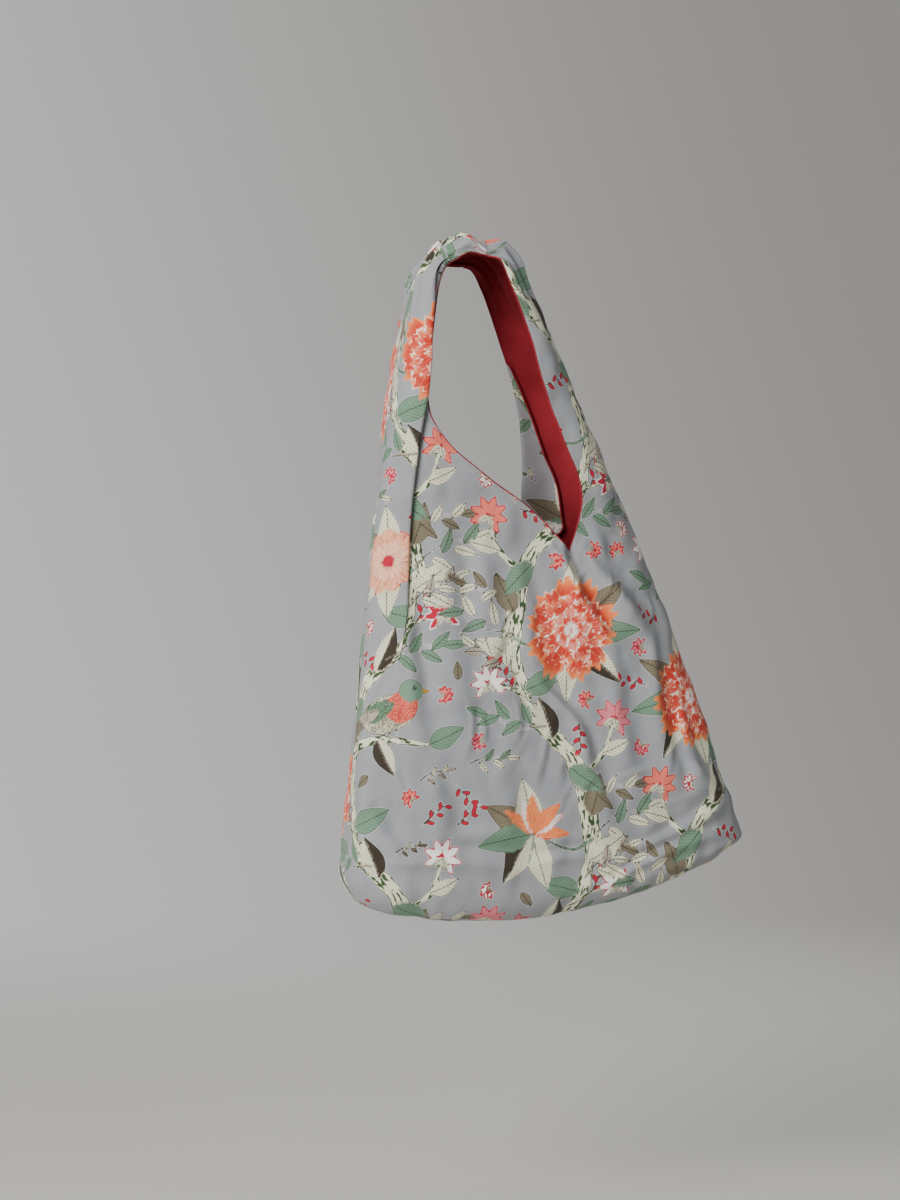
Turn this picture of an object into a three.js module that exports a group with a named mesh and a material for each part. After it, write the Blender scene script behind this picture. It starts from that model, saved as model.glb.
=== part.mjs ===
// A lined cotton shoulder tote that hangs open from its strap and folds flat for travel.
// Two printed panels, near and far, run up into wide straps that meet over the shoulder.
// Millimetres, +Z up. X runs from the front strap to the rear strap and Y from the near panel
// to the far one. The origin is under the middle of the strap, where a shoulder carries it.
import * as THREE from 'three';
import { mergeVertices } from 'three/addons/utils/BufferGeometryUtils.js';

// Driving dimensions.
const BAG_WIDTH = 357;
const BAG_HEIGHT = 585;
const BASE_DEPTH = 96;
const STRAP_WIDTH = 86;
const OUTER_CLOTH = 1.2;
const LINING_CLOTH = 1.0;
const CLEARANCE = 0.3;
const SEAM_WIDTH = 1.2;
const SEAM_RIDGE = 0.8;
const BASE_ROUND = 22;
const BASE_SEAM_INSET = 18;
const PATCH = { width: 8, length: 24, thickness: 1.2 };
const SNAP = { diameter: 10, height: 2.4, recess: 4.8, spring: 4, backing: 0.8, stud: 4, place: 0.104 };
const STUD_PANEL_X = -52;
const LABEL = { width: 24, height: 36, thickness: 0.6, place: 0.24 };

// Places along the sides, as shares of the side seam from the base edge (0) to the shoulder (1).
const V_BOTTOM = 0.52;
const PANEL_END = 0.56;
const ROOT_END = 0.7;
const STRAP_END = 1;
const SHOULDER_MIDDLE = 1.5;

// Places below zero: the rounded bottom edge (0 to -1), then the base itself (-1 to -2).
const ROUND_END = -1;
const BASE_MIDDLE = -2;

const TURN_SPACING = 60;
const STEPS = { quarter: 6, panel: 10, opening: 2, round: 3, base: 2, root: 4, strap: 5, top: 5 };

// The curves below are drawn for a bag of these sizes, and scale with the driving dimensions.
const DRAWN = { width: 357, height: 585, depth: 96, strap: 86, middle: 8 };

const MATERIALS = {
  print: { color: 0x9aa0a3, roughness: 0.85, metalness: 0 },
  lining: { color: 0x8c1f2c, roughness: 0.8, metalness: 0 },
  thread: { color: 0xb9b4a6, roughness: 0.7, metalness: 0 },
  dark_metal: { color: 0x3b3d40, roughness: 0.35, metalness: 1 },
  bright_metal: { color: 0xc9c6bd, roughness: 0.25, metalness: 1 },
  label: { color: 0xe9e6dc, roughness: 0.75, metalness: 0 },
};

// Side seams, as [place, x, height above the base]. They meet over the shoulder.
const FRONT_SEAM = [
  [0, -108, 42],
  [0.2, -100, 144],
  [0.4, -90, 246],
  [0.6, -80, 347],
  [0.8, -68, 449],
  [1, -47, 551],
  [1.2, -27, 577],
  [1.35, -8, 585],
  [1.5, 8, 585],
];
const REAR_SEAM = [
  [0, 249, 67],
  [0.2, 218, 164],
  [0.4, 182, 261],
  [0.6, 140, 358],
  [0.8, 96, 455],
  [1, 52, 552],
  [1.2, 36, 574],
  [1.35, 23, 584],
  [1.5, 8, 585],
];

// Middle line of a panel below the opening, as [place, x, half depth].
const PANEL_MIDDLE = [
  [0, 62, 48],
  [0.15, 64, 50],
  [0.35, 72, 46],
  [V_BOTTOM, 84, 38],
];

// Cut edges of the straps above the opening, as [place, x, distance from the middle plane, height].
const FRONT_EDGE = [
  [V_BOTTOM, 84, 38, 313],
  [0.6, 46, 42, 352],
  [0.65, 8, 43, 379],
  [0.7, -24, 43, 405],
  [0.76, -43, 43, 434],
  [0.85, -42, 43, 478],
  [1, -34, 43, 545],
  [1.2, -18, 42, 565],
  [1.5, 8, 42, 571],
];
const REAR_EDGE = [
  [V_BOTTOM, 84, 38, 313],
  [0.6, 93, 42, 352],
  [0.65, 91, 43, 378],
  [0.7, 80, 43, 405],
  [0.8, 60, 43, 455],
  [0.9, 46, 43, 504],
  [1, 30, 43, 544],
  [1.2, 20, 42, 564],
  [1.5, 8, 42, 571],
];

// How square the corners of a section are.
const SQUARENESS = [
  [0, 4.6],
  [0.2, 3.4],
  [0.5, 2.8],
  [0.8, 2.4],
  [1.5, 2.8],
];

// The base hangs in a curve between its two ends, and the panels above it follow less and less.
const BASE_ENDS = { front: 8, rear: 47 };
const BASE_SAG = 55;

const SEAM_GAP = SEAM_WIDTH / 2 + CLEARANCE;
const LINING_START = OUTER_CLOTH + CLEARANCE;
const LINING_END = LINING_START + LINING_CLOTH;
const PATCH_DROP = LINING_END + CLEARANCE + 0.5;
const HANG_HEIGHT = BAG_HEIGHT - PATCH_DROP - PATCH.thickness;
const END_GAP = CLEARANCE / (2 * (BAG_HEIGHT - FRONT_SEAM[0][2]));

const bag = new THREE.Group();

function addMesh(name, geometry, look) {
  const mesh = new THREE.Mesh(geometry, new THREE.MeshStandardMaterial(MATERIALS[look]));
  mesh.name = name;
  bag.add(mesh);
  return mesh;
}

const toX = (x) => ((x - DRAWN.middle) * BAG_WIDTH) / DRAWN.width;
const toZ = (height) => (height * BAG_HEIGHT) / DRAWN.height - HANG_HEIGHT;

// A smooth curve through rows of [place, value, value, ...], read at any place.
function curveThrough(rows) {
  const slope = (from, to, k) => (to[k] - from[k]) / (to[0] - from[0]);
  return (place) => {
    let at = 0;
    while (at < rows.length - 2 && place > rows[at + 1][0]) at += 1;
    const from = rows[at];
    const to = rows[at + 1];
    const before = rows[Math.max(at - 1, 0)];
    const after = rows[Math.min(at + 2, rows.length - 1)];
    const span = to[0] - from[0];
    const t = Math.min(Math.max((place - from[0]) / span, 0), 1);
    return from.slice(1).map((value, n) => {
      const k = n + 1;
      const leave = slope(before, to, k) * span;
      const arrive = slope(from, after, k) * span;
      const cubic = (2 * t - 3) * t * t;
      return (
        value * (1 + cubic) - to[k] * cubic + leave * t * (1 - t) ** 2 - arrive * t * t * (1 - t)
      );
    });
  };
}

const seams = { front: curveThrough(FRONT_SEAM), rear: curveThrough(REAR_SEAM) };
const edges = { front: curveThrough(FRONT_EDGE), rear: curveThrough(REAR_EDGE) };
const panelMiddle = curveThrough(PANEL_MIDDLE);
const squareness = curveThrough(SQUARENESS);

// Height of a hanging line at a share of its width, sagging below its two ends.
const hanging = (from, to, sag, t) =>
  (1 - t) ** 2 * from + 2 * t * (1 - t) * ((from + to) / 2 - sag) + t * t * to;

// Height of the base's underside at x, between the ends of its flat part.
function baseZ(x) {
  const front = toX(FRONT_SEAM[0][1]) + BASE_ROUND;
  const rear = toX(REAR_SEAM[0][1]) - BASE_ROUND;
  return toZ(hanging(BASE_ENDS.front, BASE_ENDS.rear, BASE_SAG, (x - front) / (rear - front)));
}

function sectionOfStrap(place, strap) {
  const [seamX, seamHeight] = seams[strap](place);
  const [edgeX, reach, edgeHeight] = edges[strap](place);
  return {
    seamX: toX(seamX),
    edgeX: toX(edgeX),
    reach: (reach * STRAP_WIDTH) / DRAWN.strap,
    square: squareness(place)[0],
    zAt: (x, along) => toZ(edgeHeight + (seamHeight - edgeHeight) * along),
  };
}

function sectionOfPanel(place, strap) {
  const above = Math.max(place, 0);
  const turn = (Math.min(Math.max(-place, 0), 1) * Math.PI) / 2;
  const lid = Math.min(Math.max(ROUND_END - place, 0), 1);
  const inset = BASE_ROUND * (1 - Math.cos(turn)) + BASE_SEAM_INSET * lid;
  const [frontX, frontHeight] = seams.front(above);
  const [rearX, rearHeight] = seams.rear(above);
  const [middleX, halfDepth] = panelMiddle(above);
  const ends = { front: toX(frontX) + inset, rear: toX(rearX) - inset };
  const fromStrap = 1 - above / V_BOTTOM;
  const depth = halfDepth * (1 + (BASE_DEPTH / DRAWN.depth - 1) * fromStrap);
  const strapShare = 1 + (STRAP_WIDTH / DRAWN.strap - 1) * (1 - fromStrap);
  const round = depth * strapShare - BASE_ROUND * (1 - Math.cos(turn));
  const sag = BASE_SAG * fromStrap ** 1.5;
  return {
    seamX: ends[strap],
    edgeX: toX(middleX),
    reach: round + (SEAM_GAP - round) * lid,
    square: squareness(above)[0],
    zAt: (x) => {
      const t = (x - ends.front) / (ends.rear - ends.front);
      const upper = hanging(frontHeight, rearHeight, sag, t);
      return toZ(upper) + (baseZ(x) - toZ(upper)) * Math.sin(turn);
    },
  };
}

const sectionAt = (place, strap) =>
  place > V_BOTTOM ? sectionOfStrap(place, strap) : sectionOfPanel(place, strap);

function seamPoint(place, strap) {
  const section = sectionAt(place, strap);
  return new THREE.Vector3(section.seamX, 0, section.zAt(section.seamX, 1));
}

// Points on a quarter of a section, from gap beyond the side seam to the panel's middle or the
// strap's cut edge. They are closer where the cloth turns. Side is -1 for near and 1 for far.
function quarter(section, side, gap) {
  const outline = [];
  const power = 2 / section.square;
  const fineSteps = 60;
  for (let k = 0; k <= fineSteps; k += 1) {
    const angle = ((k / fineSteps) * Math.PI) / 2;
    const along = k === fineSteps ? 0 : Math.cos(angle) ** power;
    const x = section.edgeX + (section.seamX - section.edgeX) * along;
    const y = gap + (section.reach - gap) * Math.sin(angle) ** power;
    outline.push(new THREE.Vector3(x, y * side, section.zAt(x, along)));
  }
  const lengths = [0];
  const before = new THREE.Vector3();
  const step = new THREE.Vector3();
  for (let k = 1; k <= fineSteps; k += 1) {
    step.subVectors(outline[k], outline[k - 1]);
    const turn = k > 1 ? step.angleTo(before) : 0;
    lengths.push(lengths[k - 1] + step.length() + turn * TURN_SPACING);
    before.copy(step);
  }
  const points = [outline[0]];
  for (let k = 1; k < STEPS.quarter; k += 1) {
    const wanted = (lengths[fineSteps] * k) / STEPS.quarter;
    const next = lengths.findIndex((length) => length >= wanted);
    const t = (wanted - lengths[next - 1]) / (lengths[next] - lengths[next - 1]);
    points.push(outline[next - 1].clone().lerp(outline[next], t));
  }
  return [...points, outline[fineSteps]];
}

const evenly = (from, to, steps) =>
  Array.from({ length: steps + 1 }, (_, k) => from + ((to - from) * k) / steps);

function cellsOf(rows) {
  const cells = [];
  for (let i = 0; i < rows.length - 1; i += 1) {
    for (let j = 0; j < rows[i].length - 1; j += 1) {
      cells.push([rows[i][j], rows[i][j + 1], rows[i + 1][j + 1], rows[i + 1][j]]);
    }
  }
  return cells;
}

// Cloth normals on a net of named points, pointing out of the bag. Along a side seam or the base
// seam the cloth faces straight out, so that both panels end square to the seam.
function withNormals({ net, cells, outward }) {
  const normals = new Map();
  for (const key of net.keys()) normals.set(key, new THREE.Vector3());
  for (const cell of cells) {
    const [a, b, c, d] = cell.map((key) => net.get(key));
    const normal = c.clone().sub(a).cross(d.clone().sub(b)).multiplyScalar(outward);
    for (const key of cell) normals.get(key).add(normal);
  }
  for (const [key, normal] of normals) {
    if (Math.abs(net.get(key).y) < SEAM_GAP * 1.01) normal.y = 0;
    normal.normalize();
  }
  return { net, cells, outward, normals };
}

// A sheet of cloth that lies between two depths under the outer face, as a closed solid.
function sheet(cloth, fromDepth, toDepth) {
  const positions = [];
  const numbers = new Map();
  const corner = (key, depth) => {
    const name = `${key} at ${depth}`;
    if (!numbers.has(name)) {
      numbers.set(name, positions.length / 3);
      positions.push(...cloth.net.get(key).clone().addScaledVector(cloth.normals.get(key), -depth));
    }
    return numbers.get(name);
  };
  const faces = [];
  const quad = (a, b, c, d) => faces.push(a, b, c, a, c, d);
  const rim = new Map();
  for (const [a, left, c, right] of cloth.cells) {
    const [b, d] = cloth.outward > 0 ? [left, right] : [right, left];
    quad(...[a, b, c, d].map((key) => corner(key, fromDepth)));
    quad(...[a, d, c, b].map((key) => corner(key, toDepth)));
    for (const [p, q] of [[a, b], [b, c], [c, d], [d, a]]) {
      if (!rim.delete(`${q} to ${p}`)) rim.set(`${p} to ${q}`, [p, q]);
    }
  }
  for (const [p, q] of rim.values()) {
    quad(corner(p, fromDepth), corner(p, toDepth), corner(q, toDepth), corner(q, fromDepth));
  }
  const geometry = new THREE.BufferGeometry();
  geometry.setAttribute('position', new THREE.Float32BufferAttribute(positions, 3));
  geometry.setIndex(faces);
  return mergeVertices(geometry, 1e-4);
}

// One panel, from the base seam up to where the straps begin: one piece of cloth whose two halves
// part above the bottom of the opening.
function panelCloth(side) {
  const places = [
    ...evenly(BASE_MIDDLE, ROUND_END, STEPS.base).slice(0, -1),
    ...evenly(ROUND_END, 0, STEPS.round).slice(0, -1),
    ...evenly(0, V_BOTTOM, STEPS.panel),
    ...evenly(V_BOTTOM, PANEL_END, STEPS.opening).slice(1),
  ];
  const net = new Map();
  const rowsOf = (strap) =>
    places.map((place, i) =>
      quarter(sectionAt(place, strap), side, SEAM_GAP).map((point, j) => {
        const shared = j === STEPS.quarter && place <= V_BOTTOM;
        const key = shared ? `middle ${i}` : `${strap} ${i} ${j}`;
        net.set(key, point);
        return key;
      }),
    );
  const rearRows = rowsOf('rear').map((row) => row.reverse());
  const cells = [...cellsOf(rowsOf('front')), ...cellsOf(rearRows)];
  return withNormals({ net, cells, outward: -side });
}

function clothFromRows(pointRows, outward) {
  const net = new Map();
  const rows = pointRows.map((points, i) =>
    points.map((point, j) => {
      net.set(`${i} ${j}`, point);
      return `${i} ${j}`;
    }),
  );
  return withNormals({ net, cells: cellsOf(rows), outward });
}

function addLinedCloth(outerName, liningName, cloth) {
  addMesh(outerName, sheet(cloth, 0, OUTER_CLOTH), 'print');
  addMesh(liningName, sheet(cloth, LINING_START, LINING_END), 'lining');
}

function addPanels() {
  addLinedCloth('near_panel_outer', 'near_panel_lining', panelCloth(-1));
  addLinedCloth('far_panel_outer', 'far_panel_lining', panelCloth(1));
}

// The strap as one cloth, from the front root over the shoulder to the rear root. Each row runs
// from the near cut edge round the side seam to the far one, and each stretch is a sheet of its own.
function addStraps() {
  const root = evenly(PANEL_END + END_GAP * 2, ROOT_END - END_GAP, STEPS.root);
  const upper = evenly(ROOT_END + END_GAP, STRAP_END - END_GAP, STEPS.strap);
  const top = evenly(STRAP_END + END_GAP * 3, SHOULDER_MIDDLE, STEPS.top);
  const down = (places) => [...places].reverse();
  const stretches = [
    { name: 'front_strap_root', front: root, rear: [] },
    { name: 'front_strap', front: upper, rear: [] },
    { name: 'shoulder_top', front: top, rear: down(top).slice(1) },
    { name: 'rear_strap', front: [], rear: down(upper) },
    { name: 'rear_strap_root', front: [], rear: down(root) },
  ];
  const rowAt = (place, strap) => {
    const section = sectionAt(place, strap);
    return [...quarter(section, -1, 0).reverse(), ...quarter(section, 1, 0).slice(1)];
  };
  const rows = stretches.flatMap(({ front, rear }) => [
    ...front.map((place) => rowAt(place, 'front')),
    ...rear.map((place) => rowAt(place, 'rear')),
  ]);
  const whole = clothFromRows(rows, -1);
  let first = 0;
  for (const { front, rear } of stretches.slice(0, -1)) {
    first += front.length + rear.length;
    for (let j = 0; j < rows[0].length; j += 1) {
      const shared = whole.normals.get(`${first} ${j}`);
      shared.add(whole.normals.get(`${first - 1} ${j}`)).normalize();
      whole.normals.set(`${first - 1} ${j}`, shared);
    }
  }
  first = 0;
  for (const { name, front, rear } of stretches) {
    const last = first + front.length + rear.length - 1;
    const inStretch = ([key]) => {
      const row = Number(key.split(' ')[0]);
      return row >= first && row < last;
    };
    const cloth = { ...whole, cells: whole.cells.filter(inStretch) };
    addLinedCloth(`${name}_outer`, `${name}_lining`, cloth);
    first = last + 1;
  }
  const patch = new THREE.BoxGeometry(PATCH.width, PATCH.length, PATCH.thickness);
  addMesh('strap_join_patch', patch, 'lining').position.z = PATCH.thickness / 2;
}

// A stitched seam: a ribbon that fills the gap between two panels through all the cloth.
function seamRibbon(points, along, outward) {
  const half = SEAM_WIDTH / 2;
  const shifts = [-half, half].map((shift) => along.clone().multiplyScalar(shift));
  const rows = points.map((point) => shifts.map((shift) => point.clone().add(shift)));
  return sheet(clothFromRows(rows, outward), 0, LINING_END);
}

function addSeams() {
  const across = new THREE.Vector3(0, 1, 0);
  const places = [
    ...evenly(BASE_MIDDLE, ROUND_END, STEPS.base).slice(0, -1),
    ...evenly(ROUND_END, 0, STEPS.round).slice(0, -1),
    ...evenly(0, PANEL_END, STEPS.panel),
  ];
  const endOf = {};
  for (const [strap, outward] of [['front', -1], ['rear', 1]]) {
    const points = places.map((place) => seamPoint(place, strap));
    addMesh(`${strap}_side_seam`, seamRibbon(points, across, outward), 'thread');
    endOf[strap] = points[0].x;
  }
  const xs = evenly(endOf.front + CLEARANCE, endOf.rear - CLEARANCE, STEPS.quarter * 2);
  const baseLine = xs.map((x) => new THREE.Vector3(x, 0, baseZ(x)));
  addMesh('base_seam', seamRibbon(baseLine, across, 1), 'thread');
  for (const [strap, way] of [['front', 1], ['rear', -1]]) {
    const x = seamPoint(ROUND_END, strap).x + (way * BASE_SEAM_INSET) / 2;
    const reach = sectionAt(ROUND_END, strap).reach;
    const ridge = new THREE.BoxGeometry(SEAM_WIDTH, reach, SEAM_RIDGE);
    const mesh = addMesh(`${strap}_corner_seam`, ridge, 'thread');
    mesh.position.set(x, 0, baseZ(x) - CLEARANCE * 2 - SEAM_RIDGE);
  }
}

// Places a turned part so that its axis, its own +Y, points out of the cloth.
function faceOut(mesh, point, normal, outwards) {
  mesh.position.copy(point).addScaledVector(normal, outwards);
  mesh.quaternion.setFromUnitVectors(new THREE.Vector3(0, 1, 0), normal);
}

const turned = (profile) =>
  new THREE.LatheGeometry(profile.map(([r, h]) => new THREE.Vector2(r, h)), 24);

const ringProfile = (inner, outer, height) => [
  [inner, 0],
  [outer, 0],
  [outer, height * 0.6],
  [outer - height * 0.4, height],
  [inner, height],
  [inner, 0],
];

// A ring snap. Its socket is outside the rear side seam near the bottom, and its stud is on the
// far panel near the front corner, each held by a backing ring inside the lining.
function addSnap() {
  const radius = SNAP.diameter / 2;
  const bore = SNAP.recess / 2;
  const seat = CLEARANCE * 2;
  const below = seamPoint(SNAP.place - 0.02, 'rear');
  const above = seamPoint(SNAP.place + 0.02, 'rear');
  const rise = above.clone().sub(below).normalize();
  const sideNormal = new THREE.Vector3(rise.z, 0, -rise.x);
  const sidePoint = seamPoint(SNAP.place, 'rear');
  const backing = () => turned(ringProfile(bore / 2, radius - 1, SNAP.backing));
  const inside = -(LINING_END + seat + SNAP.backing);

  const socket = turned(ringProfile(bore, radius, SNAP.height));
  faceOut(addMesh('snap_socket', socket, 'dark_metal'), sidePoint, sideNormal, seat);
  const spring = turned([
    [0, 0],
    [SNAP.spring / 2, 0],
    [SNAP.spring / 2, SNAP.height * 0.3],
    [SNAP.spring / 4, SNAP.height * 0.6],
    [0, SNAP.height * 0.7],
  ]);
  faceOut(addMesh('snap_spring', spring, 'bright_metal'), sidePoint, sideNormal, seat);
  faceOut(addMesh('snap_socket_backing', backing(), 'dark_metal'), sidePoint, sideNormal, inside);

  const panel = sectionAt(SNAP.place, 'front');
  const panelX = toX(STUD_PANEL_X + DRAWN.middle);
  const along = (panel.edgeX - panelX) / (panel.edgeX - panel.seamX);
  const panelY = panel.reach * (1 - along ** panel.square) ** (1 / panel.square);
  const panelPoint = new THREE.Vector3(panelX, panelY, panel.zAt(panelX, along));
  const panelNormal = new THREE.Vector3(-(along ** (panel.square - 1)) / 3, 1, 0).normalize();
  const stud = turned([
    [0, 0],
    [radius, 0],
    [radius, SNAP.height * 0.3],
    [SNAP.stud / 2, SNAP.height * 0.4],
    [SNAP.stud / 2, SNAP.height],
    [SNAP.stud / 4, SNAP.height * 1.2],
    [0, SNAP.height * 1.2],
  ]);
  faceOut(addMesh('snap_stud', stud, 'dark_metal'), panelPoint, panelNormal, seat);
  faceOut(addMesh('snap_stud_backing', backing(), 'dark_metal'), panelPoint, panelNormal, inside - 1);
}

// A blank care label, sewn into the front side seam and lying inside the bag.
function addLabel() {
  const root = seamPoint(LABEL.place, 'front');
  const label = new THREE.BoxGeometry(LABEL.width, LABEL.thickness, LABEL.height);
  const mesh = addMesh('care_label', label, 'label');
  mesh.position.copy(root);
  mesh.position.x += LINING_END + CLEARANCE * 10 + LABEL.width / 2;
}

addPanels();
addStraps();
addSeams();
addSnap();
addLabel();

export default bag;
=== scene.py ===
"""A lined cotton shoulder tote in a generic flower-and-vine print, hanging open from its strap.

Lengths in the shape code are millimetres on the drawn bag: x from the front strap to the rear
strap, y from the near panel to the far one, height above the base. to_frame() turns them into
metres in the row frame.
"""
import math

import bpy
import numpy as np
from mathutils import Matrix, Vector


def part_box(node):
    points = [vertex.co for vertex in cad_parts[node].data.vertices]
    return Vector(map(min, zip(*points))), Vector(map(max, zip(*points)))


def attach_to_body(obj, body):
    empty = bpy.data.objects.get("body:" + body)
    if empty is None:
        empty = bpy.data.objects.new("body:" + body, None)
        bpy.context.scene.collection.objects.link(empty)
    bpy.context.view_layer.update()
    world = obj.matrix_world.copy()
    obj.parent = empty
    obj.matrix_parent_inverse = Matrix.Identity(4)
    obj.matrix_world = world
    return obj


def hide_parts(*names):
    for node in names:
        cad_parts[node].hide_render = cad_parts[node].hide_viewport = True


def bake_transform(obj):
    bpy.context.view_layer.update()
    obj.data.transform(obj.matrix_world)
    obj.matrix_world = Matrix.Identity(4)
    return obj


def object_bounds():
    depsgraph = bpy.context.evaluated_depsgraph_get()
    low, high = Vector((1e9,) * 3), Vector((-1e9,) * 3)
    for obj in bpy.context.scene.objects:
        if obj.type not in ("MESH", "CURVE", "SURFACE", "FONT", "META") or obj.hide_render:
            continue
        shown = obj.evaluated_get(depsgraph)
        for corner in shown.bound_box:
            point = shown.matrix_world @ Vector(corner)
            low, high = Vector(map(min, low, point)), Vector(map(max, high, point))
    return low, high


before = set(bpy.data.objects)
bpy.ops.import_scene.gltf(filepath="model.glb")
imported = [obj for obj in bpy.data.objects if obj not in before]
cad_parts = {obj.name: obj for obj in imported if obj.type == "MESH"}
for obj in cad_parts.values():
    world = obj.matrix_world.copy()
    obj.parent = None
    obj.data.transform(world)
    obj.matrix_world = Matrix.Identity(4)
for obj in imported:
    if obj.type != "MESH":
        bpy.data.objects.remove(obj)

CAD_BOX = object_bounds()
TOP_Z = max(corner[2] for corner in CAD_BOX)
BAG_HEIGHT = 585.0
MIDDLE_X = 8.0

# A place is how far up the cloth a row is: 0 at the base, V_BOTTOM at the opening, SHOULDER at the top.
V_BOTTOM = 0.52
SHOULDER = 1.5
ROLL_PLACES = (0.34, 1.25)
FULL_ROLL = 17
FLAT_PLACE = 0.95
BASE_ROUND = 22.0
BASE_SEAM_INSET = 18.0
SEAM_GAP = 0.15
BASE_ENDS = (8.0, 47.0)
BASE_SAG = 55.0
LINING_DEPTH = 1.5
OUTWARD = {"front": -1, "rear": 1}
AWAY = {"near": -1, "far": 1}
COARSE = 1
OUTER_NET = (1.75 * COARSE, 134 // COARSE)
LINING_NET = (4.2 * COARSE, 60 // COARSE)
THREAD_STEP = 3.5

# The same section curves as the CAD: [place, x, height] and [place, x, reach, height].
FRONT_SEAM = [
    [0, -108, 42], [0.2, -100, 144], [0.4, -90, 246], [0.6, -80, 347], [0.8, -68, 449],
    [1, -47, 551], [1.2, -27, 577], [1.35, -8, 585], [1.5, 8, 585],
]
REAR_SEAM = [
    [0, 249, 67], [0.2, 218, 164], [0.4, 182, 261], [0.6, 140, 358], [0.8, 96, 455],
    [1, 52, 552], [1.2, 36, 574], [1.35, 23, 584], [1.5, 8, 585],
]
PANEL_MIDDLE = [[0, 62, 48], [0.15, 64, 50], [0.35, 72, 46], [0.52, 84, 38]]
FRONT_EDGE = [
    [0.52, 84, 38, 313], [0.6, 46, 42, 352], [0.65, 8, 43, 379], [0.7, -24, 43, 405],
    [0.76, -43, 43, 434], [0.85, -42, 43, 478], [1, -34, 43, 545], [1.2, -18, 42, 565],
    [1.5, 8, 42, 571],
]
REAR_EDGE = [
    [0.52, 84, 38, 313], [0.6, 93, 42, 352], [0.65, 91, 43, 378], [0.7, 80, 43, 405],
    [0.8, 60, 43, 455], [0.9, 46, 43, 504], [1, 30, 43, 544], [1.2, 20, 42, 564],
    [1.5, 8, 42, 571],
]
# On the far side the rear strap lies wider, and its edge is turned over.
FAR_REAR_EDGE = [
    [0.52, 84, 38, 313], [0.57, 70, 41, 336], [0.62, 64, 43, 362], [0.68, 65, 44, 392],
    [0.76, 62, 44, 434], [0.85, 52, 43, 478], [1, 30, 43, 544], [1.2, 20, 42, 564],
    [1.5, 8, 42, 571],
]
SQUARENESS = [[0, 4.6], [0.2, 3.4], [0.5, 2.8], [0.8, 2.4], [1.5, 2.8]]

# The roll down the front strap: [place, x of its inner fold, cloth folded under].
ROLL_FOLD = [
    [0.34, -68, 0], [0.42, -60, 6], [0.5, -58, 12], [0.6, -56, 15], [0.7, -52, 17],
    [0.75, -49, 17], [0.8, -45, 17], [0.92, -41, 17], [1.03, -36, 14], [1.25, -14, 0],
]
# The far rear strap's edge, turned over towards the inside: [place, turned width].
TURNED_EDGE = [[0.55, 30], [0.63, 34], [0.7, 20], [0.78, 9], [0.86, 0]]


def curve_through(rows):
    """A smooth curve through rows of [place, value, ...]; reads an array of places."""
    rows = np.array(rows, float)
    places, values = rows[:, 0], rows[:, 1:]
    last = len(rows) - 1

    def read(place):
        place = np.atleast_1d(np.asarray(place, float))
        at = np.clip(np.searchsorted(places, place) - 1, 0, last - 1)
        before, after = np.maximum(at - 1, 0), np.minimum(at + 2, last)
        span = places[at + 1] - places[at]
        t = np.clip((place - places[at]) / span, 0, 1)[:, None]
        leave = (values[at + 1] - values[before]) * (span / (places[at + 1] - places[before]))[:, None]
        arrive = (values[after] - values[at]) * (span / (places[after] - places[at]))[:, None]
        cubic = (2 * t - 3) * t * t
        ends = values[at] * (1 + cubic) - values[at + 1] * cubic
        return ends + leave * t * (1 - t) ** 2 - arrive * t * t * (1 - t)

    return read


SEAMS = {"front": curve_through(FRONT_SEAM), "rear": curve_through(REAR_SEAM)}
EDGES = {
    ("front", "near"): curve_through(FRONT_EDGE),
    ("rear", "near"): curve_through(REAR_EDGE),
    ("front", "far"): curve_through(FRONT_EDGE),
    ("rear", "far"): curve_through(FAR_REAR_EDGE),
}
panel_middle = curve_through(PANEL_MIDDLE)
squareness = curve_through(SQUARENESS)


def smooth(t):
    t = np.clip(t, 0, 1)
    return t * t * (3 - 2 * t)


def hanging(start, end, sag, t):
    """Height of a sagging line from start to end."""
    return (1 - t) ** 2 * start + 2 * t * (1 - t) * ((start + end) / 2 - sag) + t * t * end


def to_frame(points):
    """Drawn millimetres to metres in the row frame."""
    points = np.asarray(points, float)
    moved = points - np.array([MIDDLE_X, 0, BAG_HEIGHT - TOP_Z * 1000])
    return moved / 1000


def base_height(x):
    front, rear = FRONT_SEAM[0][1] + BASE_ROUND, REAR_SEAM[0][1] - BASE_ROUND
    return hanging(*BASE_ENDS, BASE_SAG, (x - front) / (rear - front))


def reach_at(places, strap, side):
    """How far the cloth stands from the middle plane, eased where the opening begins."""
    def plain(place):
        return np.where(place <= V_BOTTOM, panel_middle(np.maximum(place, 0))[:, 1],
                        EDGES[(strap, side)](np.maximum(place, V_BOTTOM))[:, 1])

    shifts = np.linspace(-0.07, 0.07, 15)
    weights = np.cos(shifts / 0.07 * math.pi / 2) ** 2
    eased = sum(w * plain(places + d) for d, w in zip(shifts, weights)) / weights.sum()
    share = np.exp(-(((places - V_BOTTOM) / 0.12) ** 4))
    return plain(places) * (1 - share) + eased * share


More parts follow.
